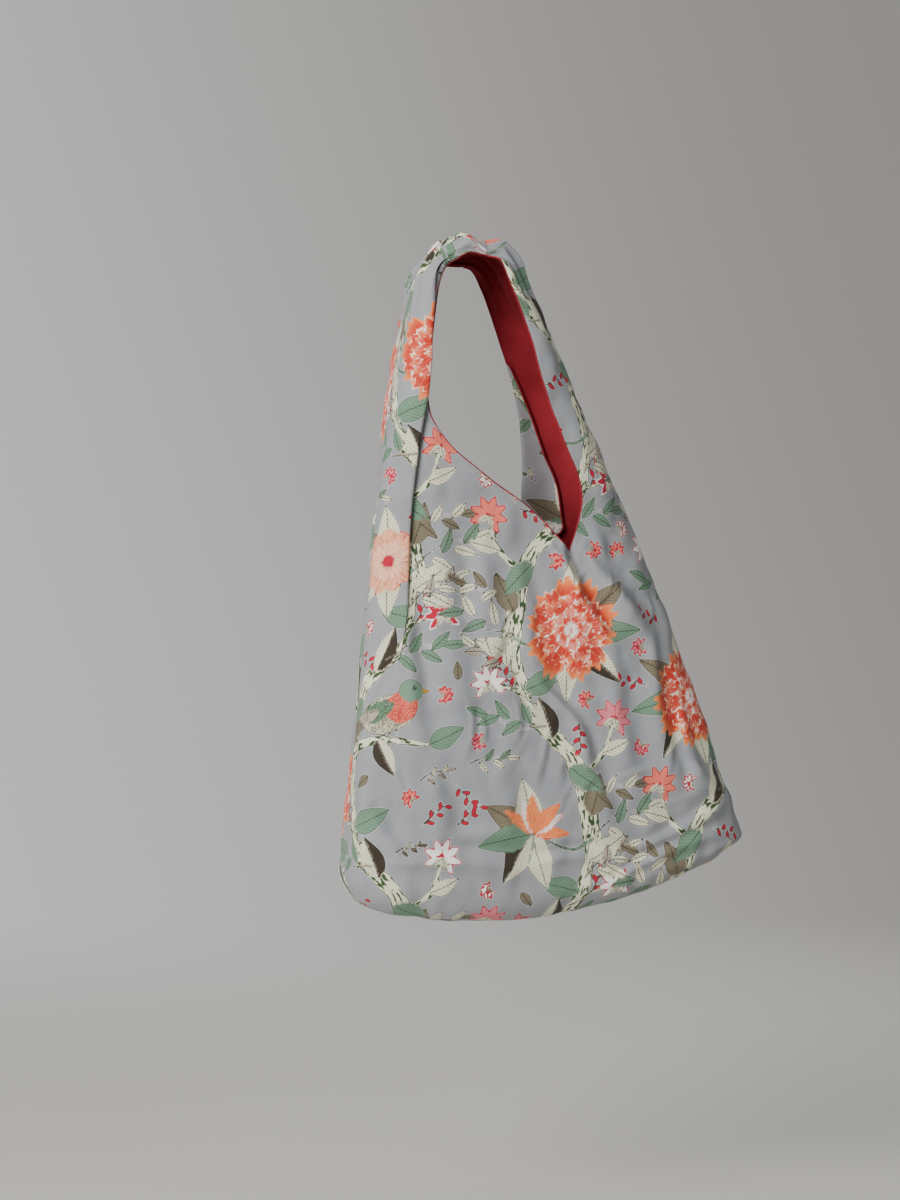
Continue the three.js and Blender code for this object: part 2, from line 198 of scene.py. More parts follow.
def outlines(places, strap, side, steps=200):
    """Quarter sections, one row each, from the panel's middle or the cut edge to the side seam."""
    angle = np.linspace(math.pi / 2, 0, steps)[None, :]
    above = np.maximum(places, 0)
    power = 2 / squareness(above)
    along = np.cos(angle).clip(0) ** power
    outwards = np.sin(angle).clip(0) ** power
    along[:, 0] = 0
    seam = SEAMS[strap](above)
    edge = EDGES[(strap, side)](above)
    middle = panel_middle(above)
    turn = np.clip(-places, 0, 1) * math.pi / 2
    lid = np.clip(-1 - places, 0, 1)
    inset = BASE_ROUND * (1 - np.cos(turn)) + BASE_SEAM_INSET * lid
    front, rear = SEAMS["front"](above), SEAMS["rear"](above)
    ends = (front[:, 0] + inset, rear[:, 0] - inset)
    from_strap = 1 - above / V_BOTTOM
    full_reach = reach_at(places, strap, side)
    level = full_reach - BASE_ROUND * (1 - np.cos(turn))
    level = level + (SEAM_GAP - level) * lid
    in_panel = places <= V_BOTTOM
    seam_x = np.where(in_panel, ends[0] if strap == "front" else ends[1], seam[:, 0])[:, None]
    edge_x = np.where(in_panel, middle[:, 0], edge[:, 0])[:, None]
    reach = np.where(in_panel, level, full_reach)[:, None]
    x = edge_x + (seam_x - edge_x) * along
    y = SEAM_GAP + (reach - SEAM_GAP) * outwards
    share = (x - ends[0][:, None]) / np.maximum(ends[1] - ends[0], 1)[:, None]
    sag = (BASE_SAG * np.clip(from_strap, 0, 1) ** 1.5)[:, None]
    upper = hanging(front[:, 1:2], rear[:, 1:2], sag, share)
    panel = upper + (base_height(x) - upper) * np.sin(turn)[:, None]
    fork_front, fork_rear = SEAMS["front"](V_BOTTOM)[0], SEAMS["rear"](V_BOTTOM)[0]
    fork_share = (PANEL_MIDDLE[-1][1] - fork_front[0]) / (fork_rear[0] - fork_front[0])
    fork_height = fork_front[1] + (fork_rear[1] - fork_front[1]) * fork_share
    ease = (fork_height - FRONT_EDGE[0][3]) * (1 - smooth((places - V_BOTTOM) / 0.12))
    edge_height = edge[:, 2:3] + ease[:, None]
    in_strap = edge_height + (seam[:, 1:2] - edge_height) * along
    height = np.where(in_panel[:, None], panel, in_strap)
    return np.stack([x, y * AWAY[side], height], -1)


def run_along(line):
    """Distance along a line of points from its first point."""
    return np.concatenate([[0], np.cumsum(np.linalg.norm(np.diff(line, axis=0), axis=1))])


def along_rows(points):
    """Distance along each row of points from its first point."""
    steps = np.linalg.norm(np.diff(points, axis=1), axis=-1)
    return np.concatenate([np.zeros((len(points), 1)), np.cumsum(steps, axis=1)], axis=1)


def read_rows(distances, values, wanted):
    """Values along each row, read at the wanted distances."""
    return np.stack([
        np.stack([np.interp(w, d, v[:, k]) for k in range(values.shape[-1])], -1)
        for d, v, w in zip(distances, values, wanted)
    ])


def walk_row(length, fold, under, turned, columns, settle):
    """One row's walk through the cloth: (place along the section, lift out of it, cloth distance).

    The cloth goes from the cut edge to the fold and beyond, back under the roll, and out again
    on top of it. A turned edge starts on the inside and comes round the edge first.
    """
    roll = under / FULL_ROLL
    turn = 1.6 * roll
    stops, lifts = [0.0], [0.0]
    if turned > 0:
        stops, lifts = [turned, 0.5, -1.4, 0.5], [-5.0, -5.0, -3.0, -0.4]
    if under > 0.01:
        inner = fold + under
        stops += [max(fold - 6, 1), inner, inner + turn, inner, fold, fold - turn, fold, fold + 9]
        lifts += [0, 0, 1.2 * roll, 2.4 * roll, 2.6 * roll, 4.2 * roll, 6 * roll, 5.8 * roll]
        stops += [fold + 26, length]
        lifts += [2.6 * roll, 0]
    else:
        stops += [length]
        lifts += [0]
    path = np.array([stops, lifts]).T
    fine = [path[0]]
    for start, end in zip(path[:-1], path[1:]):
        steps = max(int(np.linalg.norm(end - start) / 0.5), 2)
        fine += [start + (end - start) * k / steps for k in range(1, steps + 1)]
    fine = np.array(fine)
    for _ in range(3):
        fine[1:-1] = fine[1:-1] * 0.5 + (fine[2:] + fine[:-2]) * 0.25
    cloth = run_along(fine)
    extra = cloth[-1] - length
    break_at = np.clip((fold - 8) / cloth[-1], 0.02, 0.9) if fold > -50 else 0.2
    break_to = break_at + (16 + extra) / cloth[-1]
    dense = np.array([0, break_at, break_to, 1])
    share = np.array([0, break_at * 0.85, break_at * 0.85 + (break_to - break_at) * 1.25 + 0.04, 1])
    even = np.linspace(0, 1, columns)
    wanted = np.interp(even, share, dense)
    wanted = (wanted * settle + even * (1 - settle)) * cloth[-1]
    read = [np.interp(wanted, cloth, fine[:, k]) for k in range(2)]
    return read[0], read[1], wanted


roll_fold = curve_through(ROLL_FOLD)
turned_edge = curve_through(TURNED_EDGE)


# Soft folds on each panel: (x, height) at both ends, width, lift, and bow to one side.
NEAR_FOLDS = [
    ((74, 330), (120, 236), 5.5, 5.0, 7),
    ((66, 322), (92, 262), 5, 3.2, -3),
    ((98, 318), (152, 256), 7, 4.2, 7),
    ((106, 330), (176, 214), 9, 3.6, 8),
    ((38, 306), (60, 176), 11, 3.4, 6),
    ((6, 324), (26, 150), 12, 3.2, 6),
    ((-28, 330), (-12, 124), 14, 3.4, 4),
    ((-60, 268), (-50, 140), 8, 4.0, 3),
    ((58, 196), (98, 132), 5, 3.4, -8),
    ((86, 150), (120, 60), 9, 2.4, -4),
    ((120, 222), (140, 96), 11, 3.2, 4),
    ((158, 236), (182, 98), 9, 3.6, 6),
    ((184, 184), (210, 96), 7, 3.0, 4),
    ((20, 140), (26, 66), 12, 2.6, 3),
    ((-40, 120), (-36, 60), 11, 2.2, -3),
    ((-76, 50), (66, 37), 7, 3.2, -6),
    ((-20, 72), (96, 58), 9, 2.2, -6),
    ((48, 48), (156, 42), 6, 3.0, -7),
    ((126, 34), (226, 70), 5, 3.2, -4),
    ((150, 60), (232, 98), 6, 2.8, 3),
    ((-98, 104), (-62, 46), 7, 2.6, 3),
    ((190, 130), (236, 92), 7, 2.4, -3),
]
FAR_FOLDS = [
    ((80, 320), (130, 214), 7, 4.4, 7),
    ((70, 322), (36, 190), 9, 4.0, -6),
    ((20, 330), (-8, 160), 11, 3.6, -5),
    ((-46, 340), (-64, 160), 9, 3.4, -3),
    ((100, 316), (172, 190), 8, 4.0, 8),
    ((60, 210), (66, 84), 11, 2.8, 4),
    ((120, 200), (152, 80), 11, 3.2, 5),
    ((176, 180), (206, 90), 8, 2.8, 5),
    ((-80, 56), (70, 36), 7, 3.2, -5),
    ((60, 50), (190, 58), 6, 3.0, -8),
    ((-90, 120), (-40, 60), 8, 2.4, 5),
]


def small_creases(seed, count):
    """Short sharp seeded creases, upright under the straps and level near the base."""
    draw = np.random.default_rng(seed)
    made = []
    for _ in range(count):
        x, height = draw.uniform(-90, 220), draw.uniform(50, 330)
        level = draw.random() < smooth((150 - height) / 100) * 0.7
        angle = draw.uniform(-0.35, 0.35) if level else math.pi / 2 + draw.uniform(0.0, 0.7)
        long = draw.uniform(22, 52)
        end = (x + long * math.cos(angle), height - long * math.sin(angle))
        width, rise, bow = draw.uniform(2.6, 4.4), draw.uniform(0.5, 1.3), draw.uniform(-5, 5)
        made.append(((x, height), end, width, rise, bow))
    return made


NEAR_FOLDS += small_creases(5, 34)
FAR_FOLDS += small_creases(6, 34)


def folds(x, height, ridges):
    """Lift of the cloth over its folds: a crest with a valley beside it, tapering at the ends."""
    lift = np.zeros_like(x)
    for start, end, width, rise, bow in ridges:
        across = np.array(end, float) - start
        length = np.hypot(*across)
        unit = across / length
        t = ((x - start[0]) * unit[0] + (height - start[1]) * unit[1]) / length
        off = (x - start[0]) * unit[1] - (height - start[1]) * unit[0]
        off = off - bow * 4 * t * (1 - t)
        taper = smooth((t + 0.15) / 0.35) * smooth((1.15 - t) / 0.5)
        spread = width * (0.7 + 0.6 * np.clip(t, 0, 1))
        crest = np.exp(-((off / spread) ** 2))
        valley = np.exp(-(((off + spread * 1.7) / spread) ** 2))
        lift += rise * taper * (crest - 0.55 * valley)
    return lift


def wrinkles(u, v, seed):
    """Small seeded waves over the cloth."""
    draw = np.random.default_rng(seed)
    total = np.zeros_like(u)
    for _ in range(14):
        length = draw.uniform(16, 60)
        way = draw.uniform(-0.5, 0.5) + (math.pi / 2 if draw.random() < 0.25 else 0)
        phase = draw.uniform(0, 2 * math.pi)
        bend = draw.uniform(0.2, 0.8)
        wave = (u * math.cos(way) + v * math.sin(way)) * 2 * math.pi / length
        total += np.sin(wave + phase + bend * np.sin(v / 37 + phase)) * length / 60
    return total / 2.6


def gathers(place, cloth, length, side):
    """Ridges that run along the strap where the cloth is gathered over the shoulder."""
    across = cloth / length
    strength = smooth((place - 0.86) / 0.3)
    turn = 1.1 * np.sin(place * 5.2) if side == "near" else 0.8 * np.sin(place * 4.1 + 2)
    first = 1 - 2 * np.abs(np.sin(across * math.pi * 3.1 + turn)) ** 0.8
    second = np.sin(across * 2 * math.pi * 5.3 + 1.7 + 2 * turn)
    soft = np.sin(across * 2 * math.pi * 1.6 + place * 3)
    return strength * (2.6 * first + 1.3 * second + 0.9 * soft)


def crumple(x, height, y):
    """Two small peaks of cloth that stand up on the shoulder."""
    top = smooth((height - 560) / 20)
    peaks = 5.0 * np.exp(-(((x + 12 + 0.15 * y) / 9) ** 2))
    peaks = peaks + 3.4 * np.exp(-(((x - 30 - 0.1 * y) / 8) ** 2))
    dip = -3.0 * np.exp(-(((x - 8) / 11) ** 2))
    return top * (peaks + dip)


def grid_normals(points):
    down = np.gradient(points, axis=0)
    across = np.gradient(points, axis=1)
    normal = np.cross(across, down)
    normal /= np.linalg.norm(normal, axis=-1, keepdims=True) + 1e-9
    return normal


def row_places(spacing):
    """Places from the base seam to the shoulder, about evenly spaced along the cloth."""
    parts = [(-2, -1, 26), (-1, 0, 34), (0, V_BOTTOM, 270), (V_BOTTOM, 1, 246), (1, SHOULDER, 68)]
    places = [np.array([-2.0])]
    for start, end, length in parts:
        steps = max(int(length / spacing), 3)
        places.append(np.linspace(start, end, steps + 1)[1:])
    return np.concatenate(places)


def walk_section(places, strap, side, shape, distance, columns, plain):
    """Every row's walk through the cloth, with the roll or the turned edge where the quarter has one."""
    length = distance[:, -1]
    fold_x, under = roll_fold(places).T
    turned = np.where(places > V_BOTTOM, turned_edge(places)[:, 0], 0)
    turned = turned * smooth((places - V_BOTTOM) / 0.05)
    has_roll = strap == "front" and side == "near" and not plain
    has_turn = strap == "rear" and side == "far" and not plain
    walks = np.zeros((3, len(places), columns))
    for i, place in enumerate(places):
        order = np.argsort(-shape[i, :, 0])
        fold = np.interp(-fold_x[i], -shape[i, order, 0], distance[i, order])
        rolled = has_roll and ROLL_PLACES[0] < place < ROLL_PLACES[1]
        pleat = min(max(under[i], 0) if rolled else 0.0, (length[i] - fold) * 0.6)
        settle = float(smooth((SHOULDER - place) / 0.25)) if has_roll else 0.0
        edge = turned[i] if has_turn else 0.0
        walks[:, i] = walk_row(length[i], fold, pleat, edge, columns, settle)
    return walks


def cloth_coordinates(places, points, shape, strap, cloth):
    """Where each point lies on the flat cloth: across it and up it."""
    across = shape[:, :1, 0] + OUTWARD[strap] * cloth
    hold = places > FLAT_PLACE
    if hold.any():
        across[hold] = shape[~hold][-1, 0, 0] + OUTWARD[strap] * cloth[hold]
    steps = np.linalg.norm(np.diff(points, axis=0), axis=-1)
    up = points[..., 2].copy()
    for i in range(len(places)):
        if places[i] > FLAT_PLACE:
            up[i] = up[i - 1] + steps[i - 1]
    for i in range(len(places) - 1, -1, -1):
        if places[i] < 0:
            up[i] = up[i + 1] - steps[i]
    return across, up


def cloth_move(places, points, shape, strap, side, seat, length):
    """How far folds, wrinkles, gathers and the seam's groove move the cloth out of its section."""
    x, height = points[..., 0], points[..., 2]
    from_seam = length - seat
    near_seam = smooth(from_seam / 22)
    near_edge = smooth((places - V_BOTTOM) / 0.06)[:, None] * smooth((10 - seat) / 10)
    bag_part = smooth((0.75 - places) / 0.2)[:, None]
    ridges = NEAR_FOLDS if side == "near" else FAR_FOLDS
    move = folds(x, height, ridges) * near_seam * bag_part * (1 - 0.6 * near_edge)
    flat_x = shape[:, :1, 0] + OUTWARD[strap] * seat
    waves = wrinkles(flat_x, height, 11 if side == "near" else 12)
    move = move + waves * (0.25 + 0.75 * near_seam)
    move = move * (0.35 + 0.65 * smooth((places + 1.6) / 1.2)[:, None])
    ridges = gathers(places[:, None], seat.clip(0), length, side)
    move = move + ridges * (0.4 + 0.6 * near_seam)
    groove = -0.9 * np.exp(-((from_seam / 1.8) ** 2)) * (places < 1.4)[:, None]
    return move + groove


def quarter_cloth(places, strap, side, columns, inner=0.0, plain=False):
    """One quarter of the bag: points, cloth coordinates (across, up) and its edge's trim lines."""
    shape = outlines(places, strap, side)
    distance = along_rows(shape)
    length = distance[:, -1:]
    seat, lift, cloth = walk_section(places, strap, side, shape, distance, columns, plain)
    on_section = np.clip(seat, 0, length)
    points = read_rows(distance, shape, on_section)
    even = np.linspace(0, 1, columns)[None, :] * length
    normal = read_rows(even, grid_normals(read_rows(distance, shape, even)), on_section)
    away = AWAY[side]
    normal *= np.sign((normal[..., 1] * away).mean() or 1)
    # A turned edge that passes the cut edge goes on along the section's own direction.
    points[..., 0] += np.minimum(seat, 0) * OUTWARD[strap]
    across, up = cloth_coordinates(places, points, shape, strap, cloth)
    x, y, height = points[..., 0], points[..., 1], points[..., 2]
    peaks = crumple(x, height, y)
    move = cloth_move(places, points, shape, strap, side, seat, length)
    points = points + normal * (move + lift - inner)[..., None]
    points[..., 2] += peaks
    trims = {
        "piping": points[:, 0] - normal[:, 0] * 0.75,
        "stitching": read_rows(cloth, points + normal * 0.12, np.full((len(places), 1), 3.4))[:, 0],
    }
    on_seam = places[:, None] <= -1.999
    points[..., 1] = np.where(on_seam, away * SEAM_GAP, points[..., 1])
    points[..., 1] = away * np.maximum(away * points[..., 1], SEAM_GAP)
    return points, across, up, trims


def mesh_object(name, points, faces, attributes=None):
    mesh = bpy.data.meshes.new(name)
    points = np.asarray(points, np.float32)
    mesh.from_pydata(points.tolist(), [], faces)
    for key, values in (attributes or {}).items():
        width = values.shape[1] if values.ndim > 1 else 1
        kind = {1: "FLOAT", 3: "FLOAT_VECTOR", 4: "FLOAT_COLOR"}[width]
        field = {1: "value", 3: "vector", 4: "color"}[width]
        layer = mesh.attributes.new(key, kind, "POINT")
        layer.data.foreach_set(field, np.asarray(values, np.float32).ravel())
    mesh.update()
    mesh.validate()
    for polygon in mesh.polygons:
        polygon.use_smooth = True
    piece = bpy.data.objects.new(name, mesh)
    bpy.context.scene.collection.objects.link(piece)
    return piece


def grid_faces(rows, columns, first, flip):
    index = np.arange(rows * columns).reshape(rows, columns) + first
    quads = np.stack([index[:-1, :-1], index[:-1, 1:], index[1:, 1:], index[1:, :-1]], -1)
    quads = quads.reshape(-1, 4)
    return quads[:, ::-1] if flip else quads


def weld(points, faces, attributes, candidates, reach=0.02):
    """Joins the candidate points that lie at the same place."""
    seen, target = {}, np.arange(len(points))
    for k in candidates:
        key = tuple(np.round(points[k] / reach).astype(int))
        target[k] = seen.setdefault(key, k)
    faces = target[faces]
    used = np.unique(faces)
    number = np.zeros(len(points), int)
    number[used] = np.arange(len(used))
    kept = [[a for k, a in enumerate(face) if a != face[k - 1]] for face in number[faces].tolist()]
    kept = [face for face in kept if len(face) > 2]
    return points[used], kept, {key: value[used] for key, value in attributes.items()}


def build_side(side, spacing, columns, inner=0.0, plain=False):
    """Both quarters of one side as one net, joined below the opening and over the shoulder."""
    places = row_places(spacing)
    points, coords, faces, candidates, edges = [], [], [], [], {}
    first = 0
    for strap in ("front", "rear"):
        p, u, v, trims = quarter_cloth(places, strap, side, columns, inner, plain)
        points.append(p.reshape(-1, 3))
        coords.append(np.stack([u, v], -1).reshape(-1, 2))
        flip = (strap == "front") == (side == "near")
        faces.append(grid_faces(*p.shape[:2], first, flip))
        number = np.arange(p.shape[0] * p.shape[1]).reshape(p.shape[:2]) + first
        candidates += number[places <= V_BOTTOM + 1e-6, 0].tolist() + number[-1].tolist()
        edges[strap] = {key: line[places >= V_BOTTOM] for key, line in trims.items()}
        first += p.shape[0] * p.shape[1]
    points, coords, faces = np.concatenate(points), np.concatenate(coords), np.concatenate(faces)
    top_row = (len(places) - 1) * columns + np.arange(columns)
    points[len(places) * columns + top_row] = points[top_row]
    middle = [i * columns for i in range(len(places)) if places[i] <= V_BOTTOM + 1e-6]
    other = [len(places) * columns + i for i in middle]
    points[other] = points[middle]
    points, faces, values = weld(points, faces, {"coords": coords}, candidates)
    return points, faces, values["coords"], edges


# ---------------------------------------------------------------- the print
#
# A generic repeat: winding vines set by a rule, with stock flowers and leaves hung on them.

CELL = 0.5
TILE_START = np.array([-165.0, -50.0])
TILE_SIZE = np.array([460.0, 700.0])
FAR_PRINT_START = (560.0, 85.0)


def colour(code):
    """A hexadecimal colour as linear red, green and blue."""
    parts = np.array([int(code[k:k + 2], 16) / 255 for k in (0, 2, 4)])
    return np.where(parts <= 0.04045, parts / 12.92, ((parts + 0.055) / 1.055) ** 2.4)


INK = {name: colour(code) for name, code in {
    "ground": "97999D", "red": "DE4836", "coral": "F07A68", "orange": "F58B50", "peach": "F6B08C",
    "scarlet": "CF3426", "brick": "B8352B", "blush": "FAC3A4",
    "white": "F8F6F0", "cream": "E6E4C8", "sage": "71907A",
    "green": "3A5030", "taupe": "7C735F", "brown": "3B3328", "crimson": "B81C38", "ochre": "B58A30",
    "stone": "B3A89A", "ink": "2E2C28", "pink": "E27E88",
}.items()}


class Print:
    """The printed design: at each place of the cloth, the shape on top and how deep inside it."""

    def __init__(self):
        self.counts = (TILE_SIZE / CELL).astype(int)
        cells = (self.counts[1], self.counts[0])
        self.depth = np.full(cells, -30, np.float32)
        self.fill = np.zeros(cells + (4,), np.float32)
        self.rim = np.zeros(cells + (4,), np.float32)
        self.marks = np.zeros(cells + (4,), np.float32)
        self.local = np.zeros(cells + (2,), np.float32)

    def paint(self, centre, reach, shape, fill, rim, rim_width=0.7, marks=(0, 0, 0, 0), two=None):
        start = np.floor((np.array(centre) - reach - TILE_START) / CELL).astype(int)
        count = int(2 * reach / CELL) + 2
        i, j = start[0] + np.arange(count), start[1] + np.arange(count)
        x = (i + 0.5) * CELL + TILE_START[0] - centre[0]
        y = (j + 0.5) * CELL + TILE_START[1] - centre[1]
        depth, u, v = shape(*np.meshgrid(x, y))
        at = np.ix_(j % self.counts[1], i % self.counts[0])
        now = self.depth[at]
        take = (depth >= 0) | ((now < 0) & (depth > now))
        ink = np.broadcast_to(INK[fill], depth.shape + (3,)).copy()
        if two:
            share = smooth(two[1](u, v))[..., None]
            ink = ink * (1 - share) + INK[two[0]] * share
        for field, value in (
            (self.depth, depth),
            (self.fill, np.concatenate([ink, np.ones(depth.shape + (1,))], -1)),
            (self.rim, np.broadcast_to(np.append(INK[rim], rim_width / RIM_SCALE), depth.shape + (4,))),
            (self.marks, np.broadcast_to(np.array(marks, float), depth.shape + (4,))),
            (self.local, np.stack([u, v], -1)),
        ):
            old = field[at]
            old[take] = value[take]
            field[at] = old

    def read(self, coords):
        place = (coords - TILE_START) / CELL - 0.5
        low = np.floor(place).astype(int)
        part = place - low
        total = 0
        for di in (0, 1):
            for dj in (0, 1):
                weight = np.abs(1 - di - part[:, 0]) * np.abs(1 - dj - part[:, 1])
                total = total + weight * self.depth[
                    (low[:, 1] + dj) % self.counts[1], (low[:, 0] + di) % self.counts[0]]
        nearest = np.round(place).astype(int)
        at = (nearest[:, 1] % self.counts[1], nearest[:, 0] % self.counts[0])
        place3 = np.concatenate([total[:, None], self.local[at]], -1)
        return {"print_fill": self.fill[at], "print_rim": self.rim[at],
                "print_marks": self.marks[at], "print_place": place3}


RIM_SCALE = 5.0
VEINS, SCALES, BARK, RAYS = (1, 0, 0, 0), (0, 1, 0, 0), (0, 0, 1, 0), (0, 0, 0, 1)
FINE_RAYS = (0, 0, 0, 0.45)


def turned_to(x, y, angle):
    return x * math.cos(angle) + y * math.sin(angle), y * math.cos(angle) - x * math.sin(angle)


def blade(length, width, angle, bend=0.0, blunt=1.0, ragged=0.0):
    """A leaf or petal from its base: pointed, or rounder at the tip as blunt grows."""
    def shape(x, y):
        s, t = turned_to(x, y, angle)
        t = t - bend * (s / length) ** 2 * length
        q = np.clip(s / length, 0, 1)
        half = width / 2 * np.sin(math.pi * q ** (0.75 * blunt)) ** (0.9 / blunt)
        half = half * (1 + ragged * np.sin(s * 1.9) * q)
        inside = half - np.abs(t)
        over = np.maximum(s - length, 0) + np.maximum(-s, 0)
        return np.where(over > 0, -np.hypot(over, np.abs(t)), inside * 0.9), s, t
    return shape


def fan(length, width, angle, wave=0.07, ripples=3.3):
    """A broad petal from its base, with a wavy outer edge."""
    def shape(x, y):
        s, t = turned_to(x, y, angle)
        across = t / width * 2
        half = width / 2 * np.clip(s / length, 0.01, 1.2) ** 0.6
        tip = length * (1 - 0.3 * across ** 2) * (1 + wave * np.cos(ripples * math.pi * across + angle * 5))
        depth = np.minimum((half - np.abs(t)) * 0.9, tip - s)
        return np.where(s < 0, -np.hypot(s, t), depth), s, t
    return shape


def oval(long, short, angle=0.0):
    def shape(x, y):
        s, t = turned_to(x, y, angle)
        ring = np.sqrt((s / long) ** 2 + (t / short) ** 2)
        return (1 - ring) * (short * 0.6 + long * 0.4), s, t
    return shape


def rosette(radius, lobes, cut, phase=0.0):
    """A round flower face with scalloped lobes."""
    def shape(x, y):
        r, a = np.hypot(x, y), np.arctan2(y, x)
        edge = radius * (1 - cut + cut * np.abs(np.cos(lobes * a / 2 + phase)) ** 0.6)
        return edge - r, r, a * 12
    return shape


def route(points, step=1.5):
    """Points closely spaced on a smooth curve through a few."""
    rows = curve_through([[k, *point] for k, point in enumerate(points)])
    fine = rows(np.linspace(0, len(points) - 1, 60 * len(points)))
    length = np.concatenate([[0], np.cumsum(np.hypot(*np.diff(fine, axis=0).T))])
    even = np.linspace(0, length[-1], max(int(length[-1] / step), 4))
    return np.stack([np.interp(even, length, fine[:, k]) for k in range(2)], -1), even


def stroke(design, points, widths, fill, rim, rim_width=0.5, marks=(0, 0, 0, 0), knobs=0.0):
    """A stem or branch of changing width along a smooth curve."""
    line, even = route(points)
    centre = (line.min(0) + line.max(0)) / 2
    reach = (line.max(0) - line.min(0)).max() / 2 + max(widths) + 2
    share = even / even[-1]
    half = np.interp(share, [0, 1], widths) / 2 * (1 + knobs * np.sin(even / 6.5) * np.sin(even / 2.9 + 1))
    way = np.gradient(line, axis=0)
    way /= np.linalg.norm(way, axis=1, keepdims=True)

    def shape(x, y):
        best = np.full(x.shape, -99.0)
        s, t = np.zeros_like(x), np.zeros_like(x)
        for k, (point, w) in enumerate(zip(line - centre, half)):
            dx, dy = x - point[0], y - point[1]
            depth = w - np.hypot(dx, dy)
            take = depth > best
            best = np.where(take, depth, best)
            s = np.where(take, even[k] + dx * way[k, 0] + dy * way[k, 1], s)
            t = np.where(take, dy * way[k, 0] - dx * way[k, 1], t)
        return best, s, t

    design.paint(centre, reach, shape, fill, rim, rim_width, marks)


def leaf(design, at, length, width, angle, fill="sage", rim="green", bend=0.0):
    half = ("cream" if fill == "brown" else "brown", lambda u, v: v / 0.8 + 0.5) if rim == "ink" else None
    design.paint(at, length + 3, blade(length, width, math.radians(angle), bend, 1.0, 0.03),
                 fill, rim, 0.45, VEINS, half)


def sprig(design, at, angle, size, fills, rim):
    """A short stem with leaves on both sides and one at its tip."""
    count = 5
    a = math.radians(angle)
    tip = (at[0] + size * math.cos(a), at[1] + size * math.sin(a))
    bow = (at[0] + size * 0.5 * math.cos(a + 0.25), at[1] + size * 0.5 * math.sin(a + 0.25))
    stroke(design, [at, bow, tip], (2.0, 1.2), "taupe", "brown", 0.35)
    for k in range(count):
        share = 0.25 + 0.75 * k / (count - 1)
        spot = (at[0] + (tip[0] - at[0]) * share, at[1] + (tip[1] - at[1]) * share)
        side = 1 if k % 2 else -1
        turn = angle + side * (58 - 40 * share) if k < count - 1 else angle
        leaf(design, spot, size * 0.42, size * 0.17, turn, fills[k % len(fills)], rim, 0.12 * side)


def peony(design, at, size, turn=0.0, tall=1.0):
    """A full flower: rings of ragged petals, largest behind."""
    rings = [(1.0, 10, 0.66, "scarlet", "orange", 2.4), (0.84, 9, 0.6, "scarlet", "blush", 1.7),
             (0.7, 9, 0.52, "red", "white", 1.4), (0.56, 8, 0.46, "scarlet", "blush", 1.5),
             (0.42, 8, 0.36, "coral", "white", 1.3), (0.29, 7, 0.28, "red", "blush", 1.0),
             (0.17, 6, 0.2, "white", "coral", 0.8)]
    for ring, (reach, count, width, fill, rim, edge) in enumerate(rings):
        for k in range(count):
            angle = turn + 2 * math.pi * (k + 0.5 * (ring % 2) + 0.12 * math.sin(3 * k + ring)) / count
            long = size * reach * (1 + (tall - 1) * abs(math.sin(angle)))
            long = long * (1 + 0.06 * math.sin(5 * k + 2 * ring))
            glow = None
            if ring % 2 == 0:
                glow = ("orange", lambda u, v, l=long: (u - l * 0.72) / (l * 0.3))
            petal = fan(long, size * width, angle)
            design.paint(at, long * 1.1 + 3, petal, fill, rim, edge, FINE_RAYS, glow)


def daisy(design, at, size, petals, fill, rim, heart):
    """An open flower of two rows of narrow petals."""
    wide = size * 2.3 * math.sin(math.pi / petals)
    for row in range(2):
        for k in range(petals):
            angle = 2 * math.pi * (k + 0.5 * row) / petals
            long = size * (1 - 0.28 * row)
            design.paint(at, long + 3, blade(long, wide, angle, 0, 1.15), fill, rim, 0.6, FINE_RAYS)
    design.paint(at, size * 0.4, oval(size * 0.22, size * 0.2), heart, "ochre", 0.5)


def aster(design, at, size):
    """A round flower of two scalloped rows."""
    design.paint(at, size * 1.2, rosette(size, 11, 0.16), "peach", "brick", 0.8, RAYS)
    design.paint(at, size * 0.8, rosette(size * 0.62, 8, 0.2, 0.4), "blush", "brick", 0.7, RAYS)
    design.paint(at, size * 0.5, oval(size * 0.2, size * 0.2), "crimson", "brick", 0.6)


def lily(design, at, size, turn=90.0):
    """An open flower seen from the side, with pointed petals."""
    stroke(design, [(at[0] - size * 0.1, at[1] - size * 0.7), (at[0], at[1] - size * 0.3), at],
           (1.6, 2.4), "sage", "green", 0.4)
    for spread, long, wide, fill in ((-62, 1.0, 0.3, "orange"), (62, 1.0, 0.3, "orange"),
                                     (-30, 0.95, 0.34, "white"), (28, 0.95, 0.34, "white"),
                                     (-14, 1.05, 0.38, "orange"), (13, 1.0, 0.36, "orange")):
        angle = math.radians(turn + spread)
        petal = blade(size * long, size * wide, angle, 0.16 * np.sign(spread), 1.1)
        design.paint(at, size * long + 3, petal, fill, "red", 0.5, RAYS)


def small_flower(design, at, size, turn=0.0, fill="white", rim="crimson"):
    for k in range(7):
        angle = math.radians(turn) + math.pi * (k - 3) / 4.2
        design.paint(at, size + 3, blade(size, size * 0.42, angle, 0, 1.15), fill, rim, 0.75)
    for k in (-1, 1):
        leaf(design, at, size * 0.7, size * 0.3, turn + 180 + 35 * k, "cream", "taupe")


